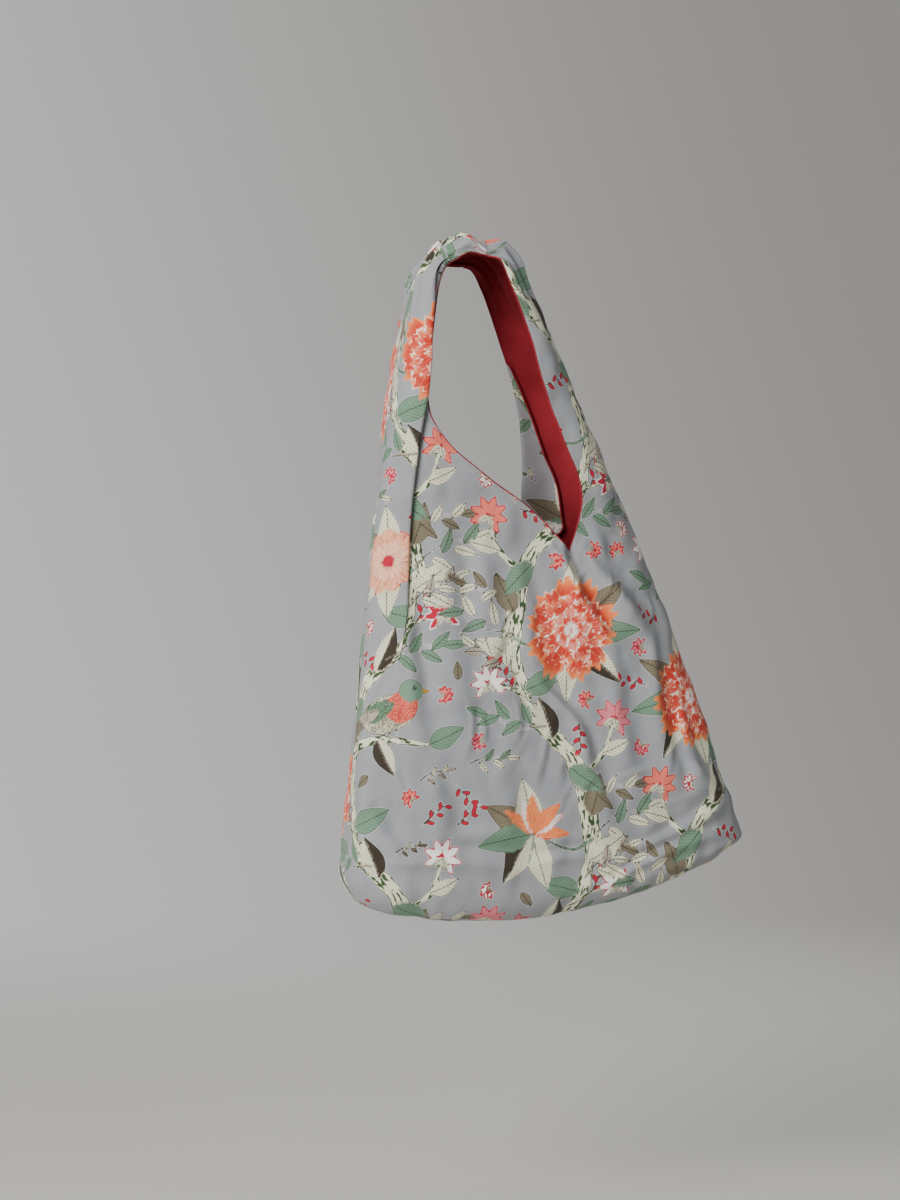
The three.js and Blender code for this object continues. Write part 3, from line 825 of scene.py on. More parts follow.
def berries(design, at, angle, count, size=3.4):
    a = math.radians(angle)
    tip = (at[0] + count * 5.2 * math.cos(a), at[1] + count * 5.2 * math.sin(a))
    middle = ((at[0] + tip[0]) / 2, (at[1] + tip[1]) / 2 + 2)
    stroke(design, [at, middle, tip], (1.8, 1.2), "brown", "brown", 0.3)
    for k in range(count):
        share = (k + 0.8) / count
        spot = (at[0] + (tip[0] - at[0]) * share, at[1] + (tip[1] - at[1]) * share)
        side = 1 if k % 2 else -1
        berry = blade(size * 1.9, size, a + 0.9 * side, 0, 1.2)
        design.paint(spot, size * 2 + 2, berry, "crimson", "brown", 0.45)


def standing_bird(design, at, size, facing=1):
    """A plain small songbird on a perch. Size is its body's length; facing is 1 to look right."""
    def spot(x, y):
        return (at[0] + facing * x * size, at[1] + y * size)

    def lean(degrees):
        return math.radians(degrees if facing > 0 else 180 - degrees)

    def plume(x, y, reach, long, wide, way, bend, blunt, *inks):
        feather = blade(size * long, size * wide, lean(way), bend, blunt)
        design.paint(spot(x, y), size * reach, feather, *inks)

    def body(x, y, reach, long, short, way, *inks):
        design.paint(spot(x, y), size * reach, oval(size * long, size * short, lean(way)), *inks)

    for k in range(3):
        plume(-0.26, -0.04, 1, 0.8 - 0.06 * k, 0.13, 203 + 6 * k, 0, 1.2, "taupe", "brown", 0.4, RAYS)
    body(0.0, 0.0, 0.7, 0.46, 0.27, 22, "cream", "brown", 0.5, SCALES)
    body(0.2, 0.1, 0.5, 0.25, 0.22, 40, "coral", "brick", 0.5, SCALES)
    plume(0.1, 0.16, 0.8, 0.62, 0.27, 204, 0.08 * facing, 1.3, "sage", "green", 0.5, SCALES)
    for k in range(3):
        plume(-0.14, 0.04, 0.6, 0.46 - 0.05 * k, 0.1, 199 + 8 * k, 0, 1.1, "stone", "green", 0.4, RAYS)
    plume(0.48, 0.34, 0.2, 0.15, 0.07, -4, 0, 1.0, "ochre", "brown", 0.3)
    body(0.34, 0.34, 0.3, 0.18, 0.165, 0, "sage", "green", 0.5)
    body(0.39, 0.37, 0.1, 0.035, 0.035, 0, "ink", "ink", 0.1)
    for k in (0.0, 0.12):
        leg = [spot(k, -0.22), spot(k + 0.01, -0.34), spot(k + 0.07, -0.4)]
        stroke(design, leg, (1.4, 0.9), "brown", "brown", 0.3)


def flying_bird(design, at, size, turn=0.0, flip=1):
    """A small bird with its wings spread."""
    def way(degrees):
        return math.radians(turn + flip * degrees)

    def spot(distance, degrees):
        angle = way(degrees)
        return (at[0] + distance * size * math.cos(angle), at[1] + distance * size * math.sin(angle))

    def plume(distance, degrees, reach, long, wide, lean, fill, rim="brown", rim_width=0.4, marks=RAYS):
        feather = blade(size * long, size * wide, way(lean), 0, 1.2)
        design.paint(spot(distance, degrees), size * reach, feather, fill, rim, rim_width, marks)

    for k in range(4):
        plume(0.34, 180, 1, 0.62, 0.12, 168 + 9 * k, "white", "taupe")
    for k in range(5):
        plume(0.08, 60, 1.1, 0.84 - 0.07 * k, 0.15, 112 - 13 * k, "white" if k % 2 else "pink")
        plume(0.12, -60, 1, 0.66 - 0.06 * k, 0.14, -88 + 13 * k, "pink" if k % 2 else "stone")
    design.paint(at, size * 0.8, oval(size * 0.44, size * 0.24, way(0)), "coral", "red", 0.5, SCALES)
    head = oval(size * 0.18, size * 0.16, way(0))
    design.paint(spot(0.42, 6), size * 0.5, head, "coral", "red", 0.4)
    beak = blade(size * 0.16, size * 0.08, way(0), 0, 1.0)
    design.paint(spot(0.56, 6), size * 0.3, beak, "crimson", "brown", 0.3)
    design.paint(spot(0.45, 14), size * 0.2, oval(size * 0.045, size * 0.045), "white", "brown", 0.5)


VINES = 3
VINE_RISE = 175.0
VINE_SWING = 36.0
VINE_MOTIFS = [
    ["peony", "bird", "aster", "peony"],
    ["lily", "peony", "swallow", "daisy"],
    ["peony", "aster", "peony", "lily"],
]
# On each stretch of vine: [share of the stretch, angle, fill, rim] and [share, angle, size, fills, rim].
VINE_LEAVES = [
    (0.12, 70, "taupe", "brown"), (0.36, -40, "sage", "green"), (0.5, 105, "brown", "ink"),
    (0.74, 20, "sage", "green"), (0.9, 150, "cream", "brown"),
]
VINE_SPRIGS = [
    (0.02, 24, 56, ("cream", "sage"), "brown"), (0.2, 14, 46, ("taupe", "cream"), "brown"),
    (0.56, 168, 52, ("sage",), "green"), (0.82, 148, 44, ("cream", "stone"), "brown"),
]
# Behind each large flower: [angle, fill, rim].
FLOWER_LEAVES = [
    (-52, "brown", "ink"), (36, "taupe", "brown"), (-6, "sage", "green"), (84, "cream", "brown"),
    (-100, "cream", "green"),
]


def vine_at(vine, turns):
    """A place on a vine's winding middle line; each vine starts a third of a winding later."""
    x = TILE_START[0] + TILE_SIZE[0] * (vine + 0.5) / VINES + VINE_SWING * math.cos(math.pi * turns)
    return np.array([x, TILE_START[1] + VINE_RISE * (turns + 2 * vine / VINES)])


def bough(design, points, widths, rim_width=0.5):
    """A barked branch."""
    stroke(design, points, widths, "cream", "green", rim_width, BARK, 0.16)


def draw_vines(design):
    """Winding branches from turn to turn, with a twig, leaves and small flowers on each stretch."""
    for vine in range(VINES):
        for turn in range(4):
            out = -1 if turn % 2 else 1
            line = [vine_at(vine, turn + part) for part in (0, 0.2, 0.42, 0.6, 0.8, 1.04)]
            line[2][0] += 6 * out
            line[3][0] -= 5 * out
            bough(design, line, (17, 9), 0.6)
            fork = vine_at(vine, turn + 0.3)
            twig = [fork, fork + (24 * out, 22), fork + (34 * out, 52)]
            bough(design, twig, (7, 3.5))
            fork = vine_at(vine, turn + 0.66)
            small = [fork, fork + (-18 * out, 14), fork + (-40 * out, 20)]
            bough(design, small, (5, 2.5))
            for share, angle, fill, rim in VINE_LEAVES:
                tilt = angle if out > 0 else 180 - angle
                leaf(design, vine_at(vine, turn + share), 38, 20, tilt, fill, rim, 0.1)
            small_flower(design, tuple(twig[-1]), 18, 70, ("white", "pink", "coral")[(vine + turn) % 3])
            leaf(design, tuple(twig[1]), 28, 14, 20 if out > 0 else 160, "cream", "brown", 0.1)
            berries(design, tuple(small[1]), 60 if out < 0 else 120, 6, 4.6)
            small_flower(design, tuple(small[-1]), 17, 100, ("white", "crimson", "white")[turn % 3],
                         ("crimson", "white", "taupe")[turn % 3])
            for share, angle, size, fills, rim in VINE_SPRIGS:
                tilt = angle if out > 0 else 180 - angle
                sprig(design, tuple(vine_at(vine, turn + share)), tilt, size, fills, rim)


def draw_motifs(design):
    """The large flowers and the birds, one inside each turn of each vine."""
    for vine, row in enumerate(VINE_MOTIFS):
        for turn, kind in enumerate(row):
            inward = 1 if turn % 2 else -1
            stem = vine_at(vine, turn)
            at = tuple(stem + (54 * inward, 6))
            if kind == "bird":
                perch = vine_at(vine, turn + 0.1)
                twig = [perch, perch + (34 * inward, 12), perch + (78 * inward, 8)]
                bough(design, twig, (9, 4))
                standing_bird(design, tuple(perch + (44 * inward, 34)), 58, inward)
                leaf(design, tuple(twig[2]), 34, 18, 90 - 70 * inward, "sage", "green", 0.1)
                leaf(design, tuple(twig[1]), 34, 18, -90 + 20 * inward, "brown", "ink", 0.1)
                continue
            stroke(design, [stem, stem + (20 * inward, -8), at], (3, 2.4), "sage", "green", 0.4)
            long = 64 if kind == "peony" else 50
            for turned, fill, rim in FLOWER_LEAVES:
                leaf(design, at, long, 24, 90 - (90 - turned) * inward, fill, rim, 0.1)
            if kind == "peony":
                peony(design, at, 40, 0.7 * vine + turn, 1.1)
            elif kind == "aster":
                aster(design, at, 28)
            elif kind == "lily":
                lily(design, at, 34, 90 + 20 * inward)
            elif kind == "daisy":
                daisy(design, at, 28, 15, "coral", "crimson", "ochre")
            else:
                flying_bird(design, at, 42, 0.6, inward)


GAP_SPOTS = 3400
ROOMY_SPOTS = 900


def fill_gaps(design, seed=3):
    """Small sprigs, flowers and berries wherever the ground is still bare."""
    draw = np.random.default_rng(seed)
    kinds = [("sprig", 23), ("leaf", 14), ("sprig", 17), ("flower", 12), ("sprig", 20), ("berries", 11)]
    fills = [("cream", "sage"), ("cream",), ("taupe", "cream"), ("sage",), ("stone", "cream")]
    spots = TILE_START + draw.random((GAP_SPOTS, 2)) * TILE_SIZE
    for k, spot in enumerate(spots):
        kind, room = kinds[k % len(kinds)]
        room = room * (1.1 if k < ROOMY_SPOTS else 0.68)
        span = np.arange(-room, room + 1, 3)
        cell = ((spot - TILE_START) / CELL).astype(int)
        rows = (cell[1] + (span / CELL).astype(int)) % design.counts[1]
        columns = (cell[0] + (span / CELL).astype(int)) % design.counts[0]
        if design.depth[np.ix_(rows, columns)].max() > -1.5:
            continue
        turn = draw.uniform(0, 360)
        way = math.radians(turn)
        start = spot - room * 0.85 * np.array([math.cos(way), math.sin(way)])
        if kind == "sprig":
            sprig(design, start, turn, room * 1.8, fills[k % len(fills)], "brown")
        elif kind == "flower":
            fill = ("white", "coral", "pink", "white")[k // 6 % 4]
            small_flower(design, spot, room * 1.1, turn, fill, "crimson")
        elif kind == "leaf":
            fill, rim = (("sage", "green"), ("taupe", "brown"), ("brown", "ink"))[k % 3]
            leaf(design, start, room * 1.8, room * 0.9, turn, fill, rim, 0.1)
        else:
            berries(design, start, turn, 5, 4.2)


def draw_print():
    design = Print()
    draw_vines(design)
    draw_motifs(design)
    fill_gaps(design)
    return design


# ---------------------------------------------------------------- materials

class Wire:
    """A node's output that can be added to, multiplied and so on, which makes the node for it."""

    def __init__(self, shader, socket):
        self.shader, self.socket = shader, socket

    def __add__(self, other):
        return self.shader.math("ADD", self, other)

    def __sub__(self, other):
        return self.shader.math("SUBTRACT", self, other)

    def __mul__(self, other):
        return self.shader.math("MULTIPLY", self, other)

    def upside_down(self):
        return self.shader.math("SUBTRACT", 1.0, self)

    def sine(self, wavelength):
        return self.shader.math("SINE", self * (2 * math.pi / wavelength))

    def between(self, low, high):
        return self.shader.between(self, low, high)


class Shader:
    """A material's node tree, with short names for the nodes it needs."""

    def __init__(self, name, roughness, **sockets):
        self.material = bpy.data.materials.new(name)
        self.material.use_nodes = True
        self.tree = self.material.node_tree
        self.surface = self.tree.nodes["Principled BSDF"]
        self.surface.inputs["Roughness"].default_value = roughness
        for key, value in sockets.items():
            self.surface.inputs[key.replace("_", " ")].default_value = value

    def node(self, kind, **settings):
        made = self.tree.nodes.new("ShaderNode" + kind)
        for key, value in settings.items():
            setattr(made, key, value)
        return made

    def put(self, socket, value):
        if isinstance(value, Wire):
            self.tree.links.new(value.socket, socket)
        elif value is not None:
            socket.default_value = value

    def fed(self, made, values, output=0):
        """The output of a node whose sockets have been given their values."""
        for key, value in values.items():
            self.put(made.inputs[key], value)
        return Wire(self, made.outputs[output])

    def math(self, operation, *values, clamp=False):
        return self.fed(self.node("Math", operation=operation, use_clamp=clamp), dict(enumerate(values)))

    def between(self, value, low, high):
        made = self.node("MapRange", interpolation_type="SMOOTHSTEP")
        return self.fed(made, {"Value": value, "From Min": low, "From Max": high}, "Result")

    def mix(self, factor, first, second, blend="MIX"):
        made = self.node("Mix", data_type="RGBA", blend_type=blend)
        return self.fed(made, {"Factor": factor, 6: first, 7: second}, 2)

    def attribute(self, name, output):
        return Wire(self, self.node("Attribute", attribute_name=name).outputs[output])

    def object_place(self):
        return Wire(self, self.node("TexCoord").outputs["Object"])

    def parts(self, vector):
        made = self.node("SeparateXYZ")
        self.put(made.inputs[0], vector)
        return [Wire(self, output) for output in made.outputs]

    def vector(self, x=0.0, y=0.0, z=0.0):
        return self.fed(self.node("CombineXYZ"), {0: x, 1: y, 2: z})

    def noise(self, vector, scale, detail=2.0, rough=0.5):
        values = {"Vector": vector, "Scale": scale, "Detail": detail, "Roughness": rough}
        return self.fed(self.node("TexNoise"), values)

    def bump(self, height, distance, strength=1.0, before=None):
        values = {"Strength": strength, "Distance": distance, "Height": height, "Normal": before}
        return self.fed(self.node("Bump"), values)

    def finish(self, ink, normal=None, roughness=None):
        self.fed(self.surface, {"Base Color": ink, "Normal": normal, "Roughness": roughness})
        return self.material


def rgba(ink):
    return (*[float(c) for c in ink], 1.0)


def weave(s, u, v, pitch):
    """Height of a plain weave and the unevenness of its threads."""
    over = u.sine(pitch) * v.sine(pitch)
    warp_slub = s.noise(s.vector(u * 1.3, v * 0.09), 1.0, 3)
    weft_slub = s.noise(s.vector(u * 0.09, v * 1.3, 7.0), 1.0, 3)
    return over, warp_slub + weft_slub


def mark_strength(s, along, across, veins, scales, bark, rays):
    """How strongly the rim colour is drawn inside a shape, as veins, scales, bark or rays."""
    side = s.math("ABSOLUTE", across)
    rib = side.between(0.25, 0.6).upside_down()
    wave = s.math("ABSOLUTE", (along - side * 1.1).sine(7.2))
    vein = s.math("MAXIMUM", rib, wave.between(0.1, 0.3).upside_down()) * (veins * 0.85)
    shell = s.node("TexVoronoi", feature="DISTANCE_TO_EDGE")
    shell = s.fed(shell, {"Vector": s.vector(along, across), "Scale": 0.5}, "Distance")
    scale = shell.between(0.09, 0.2).upside_down() * (scales * 0.75)
    streak = s.noise(s.vector(along * 0.09, across * 0.36), 1.0, 1).between(0.53, 0.57) * bark
    ray = s.noise(s.vector(along * 0.1, across * 1.1), 1.0, 2).between(0.52, 0.62) * (rays * 0.6)
    first, second = s.math("MAXIMUM", vein, scale), s.math("MAXIMUM", streak, ray)
    return s.math("MAXIMUM", first, second, clamp=True)


def printed_cotton():
    s = Shader("printed_cotton", 0.82, Sheen_Weight=0.18, Sheen_Roughness=0.45, Specular_IOR_Level=0.25)
    u, v, _ = s.parts(s.attribute("cloth_place", "Vector"))
    depth, along, across = s.parts(s.attribute("print_place", "Vector"))
    rim = s.attribute("print_rim", "Color")
    rim_width = s.attribute("print_rim", "Alpha") * RIM_SCALE
    marks = s.parts(s.attribute("print_marks", "Vector"))
    marks.append(s.attribute("print_marks", "Alpha"))
    cloth = s.vector(u, v)
    edge = depth + (s.noise(cloth, 0.55, 3) - 0.5) * 0.9
    ink = s.mix(mark_strength(s, along, across, *marks), s.attribute("print_fill", "Color"), rim)
    ink = s.mix((edge - rim_width).between(-0.15, 0.2).upside_down(), ink, rim)
    cloudy = s.noise(cloth, 0.012, 3).between(0.3, 0.7)
    ground = s.mix(cloudy, rgba(INK["ground"] * 0.95), rgba(INK["ground"] * 1.04))
    ground = s.mix(depth.between(-0.8, -0.45) * 0.2, ground, rgba(INK["white"]))
    ink = s.mix(edge.between(-0.12, 0.22), ground, ink)
    over, slub = weave(s, u, v, 0.62)
    # Slub gives the threads an uneven tone. The weave's hollows are also painted a little darker and its
    # tops a little lighter, as painted shade and highlight.
    tint = slub * 0.07 + 0.93 + over * 0.03
    ink = s.mix(1.0, ink, s.vector(tint, tint, tint), "MULTIPLY")
    normal = s.bump(over, 0.00008, 0.6)
    normal = s.bump(slub, 0.0002, 0.35, normal)
    normal = s.bump(s.noise(cloth, 0.09, 3), 0.0012, 0.35, normal)
    return s.finish(ink, normal, slub * 0.07 + 0.76)


def lining_cotton():
    s = Shader("lining_cotton", 0.8, Sheen_Weight=0.12, Sheen_Roughness=0.4, Specular_IOR_Level=0.3)
    u, v, _ = s.parts(s.attribute("cloth_place", "Vector"))
    cloth = s.vector(u, v)
    over, slub = weave(s, u, v, 0.6)
    shade = s.noise(cloth, 0.02, 3).between(0.3, 0.7)
    ink = s.mix(shade, rgba(colour("7E1420")), rgba(colour("96202C")))
    tint = slub * 0.1 + 0.9
    ink = s.mix(1.0, ink, s.vector(tint, tint, tint), "MULTIPLY")
    normal = s.bump(over, 0.00008, 0.6)
    normal = s.bump(s.noise(cloth, 0.08, 3), 0.0016, 0.4, normal)
    return s.finish(ink, normal, slub * 0.08 + 0.72)


def thread(name, code):
    """Spun thread, with its twist as slanting bands: bumped ridges, with painted shade darkening the
    grooves between them.
    """
    s = Shader(name, 0.7, Sheen_Weight=0.2)
    place = s.object_place()
    twist = s.fed(s.node("TexWave"), {"Vector": place, "Scale": 700, "Distortion": 1.5}, 1)
    band = twist * 0.6 + s.noise(place, 2500, 2) * 0.4
    # The twist's colour is painted darker in its grooves and lighter on its ridges: painted shade and
    # highlight.
    ink = s.mix(band, rgba(colour(code) * 0.7), rgba(colour(code) * 1.05))
    return s.finish(ink, s.bump(band, 0.0001, 0.8))


def snap_metal(name, code, rough):
    s = Shader(name, rough, Metallic=1.0)
    place = s.object_place()
    wear = s.noise(place, 900, 4, 0.6)
    ink = s.mix(wear.between(0.35, 0.7), rgba(colour(code)), rgba(colour(code) * 1.6 + 0.01))
    scratch = s.noise(place, 2600, 2)
    return s.finish(ink, s.bump(scratch, 0.00004, 0.5), wear * 0.2 + (rough - 0.08))


def label_cloth():
    s = Shader("label_cloth", 0.55, Sheen_Weight=0.3)
    u, v, _ = s.parts(s.attribute("cloth_place", "Vector"))
    shade = s.noise(s.vector(u, v), 0.2, 3)
    ink = s.mix(shade, rgba(colour("DDD8CC")), rgba(colour("EFEBE0")))
    return s.finish(ink, s.bump(v.sine(0.5), 0.00006, 0.6))


def studio_floor():
    """Pale paper that fades out into the studio's background."""
    s = Shader("studio_paper", 0.9)
    place = s.object_place()
    x, y, _ = s.parts(place)
    material = s.finish(s.mix(s.noise(place, 1.5, 3), rgba(colour("C6C4BD")), rgba(colour("CECCC6"))))
    far = s.math("SQRT", x * x + y * y)
    paper = Wire(s, s.surface.outputs[0])
    clear = Wire(s, s.node("BsdfTransparent").outputs[0])
    blend = s.fed(s.node("MixShader"), {0: far.between(0.5, 2.4), 1: paper, 2: clear})
    s.put(s.tree.nodes["Material Output"].inputs["Surface"], blend)
    return material


# ---------------------------------------------------------------- pieces

def cross_joint(piece):
    """Bakes the piece's placement into its mesh; no joint is made here for the bend where the straps leave
    the bag.
    """
    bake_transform(piece)


def attach(piece, body=None, replaced=None):
    """Rides a body, or has its placement baked into its mesh where none is given."""
    if body:
        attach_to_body(piece, body)
    else:
        cross_joint(piece)
    if replaced:
        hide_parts(replaced)


def add_outer(side, design, look):
    points, faces, coords, edges = build_side(side, *OUTER_NET)
    if side == "near":
        attributes = design.read(coords)
    else:
        attributes = design.read(np.array(FAR_PRINT_START) + coords * (-1, 1))
    attributes["cloth_place"] = np.concatenate([coords, np.zeros((len(coords), 1))], -1)
    piece = mesh_object(f"{side}_cloth", to_frame(points), faces, attributes)
    piece.data.materials.append(look)
    return piece, edges


def add_lining(side, look):
    points, faces, coords, _ = build_side(side, *LINING_NET, LINING_DEPTH, True)
    attributes = {"cloth_place": np.concatenate([coords, np.zeros((len(coords), 1))], -1)}
    piece = mesh_object(f"{side}_lining", to_frame(points), faces, attributes)
    piece.data.materials.append(look)
    return piece


def tube(name, paths, radius, look, sides=8):
    """Round cords along lists of drawn points, as one mesh."""
    points, faces, coords, first = [], [], [], 0
    around = np.arange(sides) * 2 * math.pi / sides
    aside = np.array([0.31, 0.84, 0.44])
    for path in paths:
        path = np.asarray(path, float)
        count = len(path)
        way = np.gradient(path, axis=0)
        way /= np.linalg.norm(way, axis=1, keepdims=True) + 1e-9
        first_side = np.cross(way, aside)
        first_side /= np.linalg.norm(first_side, axis=1, keepdims=True) + 1e-9
        second = np.cross(way, first_side)
        taper = np.ones((count, 1, 1))
        taper[[0, -1]] = 0.35
        ring = first_side[:, None] * np.cos(around)[None, :, None]
        ring = ring + second[:, None] * np.sin(around)[None, :, None]
        points.append((path[:, None] + radius * taper * ring).reshape(-1, 3))
        run = run_along(path)
        place = np.zeros((count, sides, 3))
        place[..., 0] = around * radius
        place[..., 1] = run[:, None]
        coords.append(place.reshape(-1, 3))
        number = np.arange(count * sides).reshape(count, sides) + first
        beside = np.roll(number, -1, axis=1)
        quads = np.stack([number[:-1], beside[:-1], beside[1:], number[1:]], -1)
        faces += quads.reshape(-1, 4).tolist()
        faces += [number[0, ::-1].tolist(), number[-1].tolist()]
        first += count * sides
    attributes = {"cloth_place": np.concatenate(coords)}
    piece = mesh_object(name, to_frame(np.concatenate(points)), faces, attributes)
    piece.data.materials.append(look)
    return piece


def stitches(line, pitch=3.0, length=2.1):
    """Short lengths of thread along a line of points."""
    run = run_along(line)
    made = []
    for start in np.arange(1.0, run[-1] - pitch, pitch):
        at = np.linspace(start, start + length, 4)
        made.append(np.stack([np.interp(at, run, line[:, k]) for k in range(3)], -1))
    return made


def seam_line(strap, places, lift=0.0):
    """The side seam's line, a little inside the cloth's groove."""
    shape = outlines(places, strap, "near")
    line = shape[:, -1].copy()
    line[:, 1] = 0
    line[:, 0] += lift * OUTWARD[strap]
    return line


def add_seams(look):
    base = row_places(THREAD_STEP)
    side_places = base[(base > -1.0) & (base < 1.4)]
    for strap in ("front", "rear"):
        line = seam_line(strap, side_places, -0.7)
        bag_part = line[side_places <= 0.56]
        strap_part = line[side_places >= 0.56]
        piece = tube(f"{strap}_side_thread", [bag_part, strap_part], 0.45, look)
        attach(piece, None, f"{strap}_side_seam")
        lid = seam_line(strap, base[base <= -1.0])
        inner = lid[:, 0] - 4 * OUTWARD[strap]
        corner = np.stack([np.full(24, inner.mean()), np.linspace(-24, 24, 24), np.zeros(24)], -1)
        corner[:, 2] = base_height(corner[:, 0]) + 0.1
        piece = tube(f"{strap}_corner_thread", stitches(corner, 2.8, 2.0), 0.4, look, 6)
        attach(piece, "bag", f"{strap}_corner_seam")
    ends = [seam_line(strap, np.array([-2.0]))[0, 0] for strap in ("front", "rear")]
    xs = np.linspace(*ends, 120)
    line = np.stack([xs, np.zeros_like(xs), base_height(xs) + 0.2], -1)
    piece = tube("base_thread", [line], 0.5, look)
    attach(piece, "bag", "base_seam")


def add_edges(side, edges, look, thread_look):
    """Piping and topstitching along the cut edges of one side, from strap to strap round the V."""
    line = np.concatenate([edges["front"]["piping"][::-1], edges["rear"]["piping"][1:]])
    piping = tube(f"{side}_piping", [line], 0.85, look)
    attach(piping)
    runs = [edges["front"]["stitching"][4:], edges["rear"]["stitching"][4:]]
    lines = [stitch for run in runs for stitch in stitches(run)]
    sewing = tube(f"{side}_topstitching", lines, 0.24, thread_look, 6)
    attach(sewing)


def small_sheet(name, node, rows, columns, size, shape, thickness, offset, look):
    """A small rectangle of cloth in a CAD node's box; shape gives its depth axes at each place."""
    low, high = (np.array(corner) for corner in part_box(node))
    b, a = np.meshgrid(np.linspace(0, 1, rows), np.linspace(0, 1, columns), indexing="ij")
    points = shape(low, high, a, b)
    places = np.stack([a * size[0], b * size[1], np.zeros_like(a)], -1)
    faces = grid_faces(rows, columns, 0, False).tolist()
    piece = mesh_object(name, points.reshape(-1, 3), faces, {"cloth_place": places.reshape(-1, 3)})
    solid = piece.modifiers.new("thickness", "SOLIDIFY")
    solid.thickness = thickness
    solid.offset = offset
    piece.data.materials.append(look)
    return piece


def label_shape(low, high, a, b):
    """Hangs from one side and curls away from it."""
    x = low[0] + (high[0] - low[0]) * a
    z = low[2] + (high[2] - low[2]) * b - 0.002 * a * a
    y = (low[1] + high[1]) / 2 + 0.0022 * np.sin(a * 2.6) * (0.6 + 0.4 * np.cos(b * 3)) * a
    return np.stack([x, y, z], -1)


def patch_shape(low, high, a, b):
    """Lies flat, with its edges a little raised."""
    x = low[0] + (high[0] - low[0]) * a
    y = low[1] + (high[1] - low[1]) * b
    z = low[2] + 0.0002 + 0.00012 * ((a * 2 - 1) ** 4 + (b * 2 - 1) ** 4)
    return np.stack([x, y, z], -1)


def add_label(look):
    piece = small_sheet("label_cloth", "care_label", 16, 12, (24, 36), label_shape, 0.0003, -1, look)
    attach(piece, "bag", "care_label")
    return piece


def add_patch(look):
    piece = small_sheet("join_patch", "strap_join_patch", 17, 9, (8, 24), patch_shape, 0.0009, 1, look)
    attach(piece, "strap_loop", "strap_join_patch")
    return piece


def dress_snap():
    dark = snap_metal("gunmetal", "4A4B4E", 0.34)
    bright = snap_metal("nickel", "B8B4AA", 0.24)
    for node in ("snap_socket", "snap_socket_backing", "snap_stud", "snap_stud_backing", "snap_spring"):
        look = bright if node == "snap_spring" else dark
        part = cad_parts[node]
        for polygon_slot in part.material_slots:
            polygon_slot.material = look
        if not part.material_slots:
            part.data.materials.append(look)


FLOOR_Z = -0.86
LIGHT_TARGET = (0.0, 0.0, -0.3)
CAMERA_TARGET = (-0.0215, 0.0, -0.3065)
CAMERA_TURN = -15
CAMERA_DISTANCE = 2.2
HALF_FRAME_WIDTH = 0.3915


def add_stage():
    """A round of pale floor under the bag."""
    rings, spokes = (0.8, 1.6, 2.5), 48
    points = [(r * math.cos(2 * math.pi * k / spokes), r * math.sin(2 * math.pi * k / spokes), FLOOR_Z)
              for r in rings for k in range(spokes)]
    faces = [list(range(spokes))]
    for ring in range(len(rings) - 1):
        for k in range(spokes):
            a, b = ring * spokes + k, ring * spokes + (k + 1) % spokes
            faces.append([a, a + spokes, b + spokes, b])
    piece = mesh_object("studio_floor", points, faces)
    piece.data.materials.append(studio_floor())


def add_light(name, place, size, power, tint=(1, 1, 1)):
    lamp = bpy.data.lights.new(name, "AREA")
    lamp.shape = "RECTANGLE"
    lamp.size, lamp.size_y = size
    lamp.energy = power
    lamp.color = tint
    holder = bpy.data.objects.new(name, lamp)
    holder.location = place
    holder.rotation_euler = (Vector(LIGHT_TARGET) - Vector(place)).to_track_quat("-Z", "Y").to_euler()
    bpy.context.scene.collection.objects.link(holder)


def add_lights():
    add_light("window", (-2.0, -1.7, 0.7), (1.5, 2.0), 126, (1.0, 0.985, 0.96))
    add_light("fill", (2.2, -2.0, 0.2), (2.4, 2.4), 4, (0.95, 0.97, 1.0))
    add_light("overhead", (0.0, 0.4, 2.2), (3.0, 3.0), 14)
    add_light("back", (1.2, 2.2, 0.4), (2.2, 2.2), 30, (0.97, 0.98, 1.0))
    bpy.context.scene.world = studio_air()


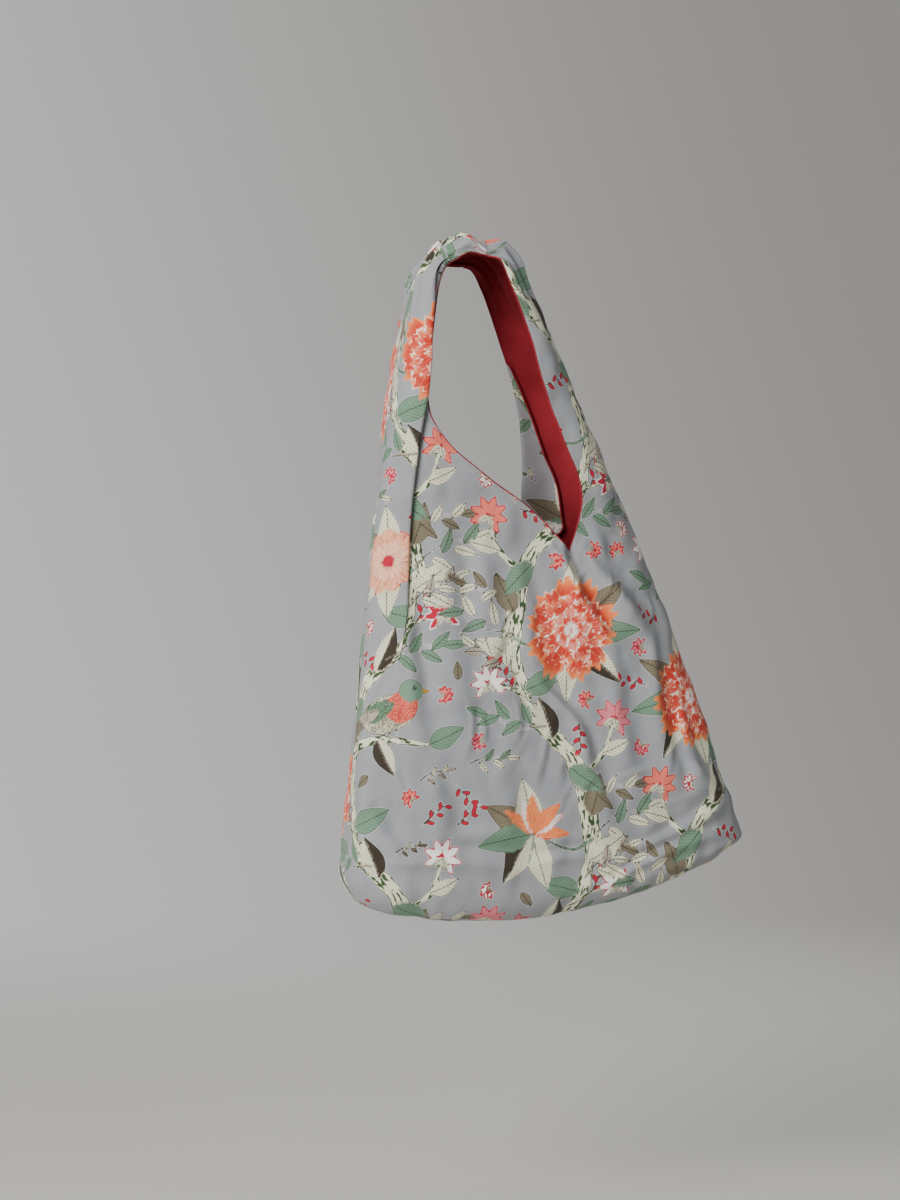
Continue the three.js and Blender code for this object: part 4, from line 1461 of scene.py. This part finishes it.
def studio_air():
    """Soft light from all round, in front of a pale backdrop that is lighter on the window side."""
    world = bpy.data.worlds.new("studio")
    world.use_nodes = True
    nodes, links = world.node_tree.nodes, world.node_tree.links
    nodes["Background"].inputs["Color"].default_value = (0.78, 0.8, 0.82, 1)
    nodes["Background"].inputs["Strength"].default_value = 0.2
    way = nodes.new("ShaderNodeTexCoord")
    across = nodes.new("ShaderNodeVectorMath")
    across.operation = "DOT_PRODUCT"
    across.inputs[1].default_value = (0.966, -0.259, 0.35)
    tone = nodes.new("ShaderNodeMapRange")
    tone.interpolation_type = "SMOOTHSTEP"
    tone.inputs["From Min"].default_value = -0.28
    tone.inputs["From Max"].default_value = 0.26
    tints = nodes.new("ShaderNodeMix")
    tints.data_type = "RGBA"
    tints.inputs[6].default_value = (0.66, 0.655, 0.66, 1)
    tints.inputs[7].default_value = (0.3, 0.29, 0.265, 1)
    backdrop = nodes.new("ShaderNodeBackground")
    seen = nodes.new("ShaderNodeLightPath")
    blend = nodes.new("ShaderNodeMixShader")
    for start, end in (
        (way.outputs["Generated"], across.inputs[0]),
        (across.outputs["Value"], tone.inputs["Value"]),
        (tone.outputs["Result"], tints.inputs["Factor"]),
        (tints.outputs[2], backdrop.inputs["Color"]),
        (seen.outputs["Is Camera Ray"], blend.inputs[0]),
        (nodes["Background"].outputs[0], blend.inputs[1]),
        (backdrop.outputs[0], blend.inputs[2]),
        (blend.outputs[0], nodes["World Output"].inputs["Surface"]),
    ):
        links.new(start, end)
    return world


def add_camera():
    """The bag seen level from the near side, 15 degrees round towards the front strap."""
    target = Vector(CAMERA_TARGET)
    turn = math.radians(CAMERA_TURN)
    lens = bpy.data.cameras.new("camera")
    lens.sensor_fit = "HORIZONTAL"
    lens.angle = 2 * math.atan(HALF_FRAME_WIDTH / CAMERA_DISTANCE)
    camera = bpy.data.objects.new("camera", lens)
    camera.location = target + CAMERA_DISTANCE * Vector((math.sin(turn), -math.cos(turn), 0))
    camera.rotation_euler = (target - camera.location).to_track_quat("-Z", "Y").to_euler()
    bpy.context.scene.collection.objects.link(camera)
    bpy.context.scene.camera = camera


STRAP_NODES = ("front_strap_root", "front_strap", "shoulder_top", "rear_strap", "rear_strap_root")


def build():
    add_camera()
    design = draw_print()
    print_look, lining_look = printed_cotton(), lining_cotton()
    thread_look = thread("sewing_thread", "8F8E88")
    sheets = {}
    for side in ("near", "far"):
        outer, edges = add_outer(side, design, print_look)
        lining = add_lining(side, lining_look)
        for piece, kind in ((outer, "outer"), (lining, "lining")):
            cross_joint(piece)
            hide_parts(f"{side}_panel_{kind}", *[f"{name}_{kind}" for name in STRAP_NODES])
        add_edges(side, edges, lining_look, thread_look)
        sheets[side] = (outer, lining)
    add_seams(thread_look)
    label = add_label(label_cloth())
    patch = add_patch(lining_look)
    dress_snap()
    for side in ("near", "far"):
        outer, lining = sheets[side]
    add_stage()
    add_lights()


build()
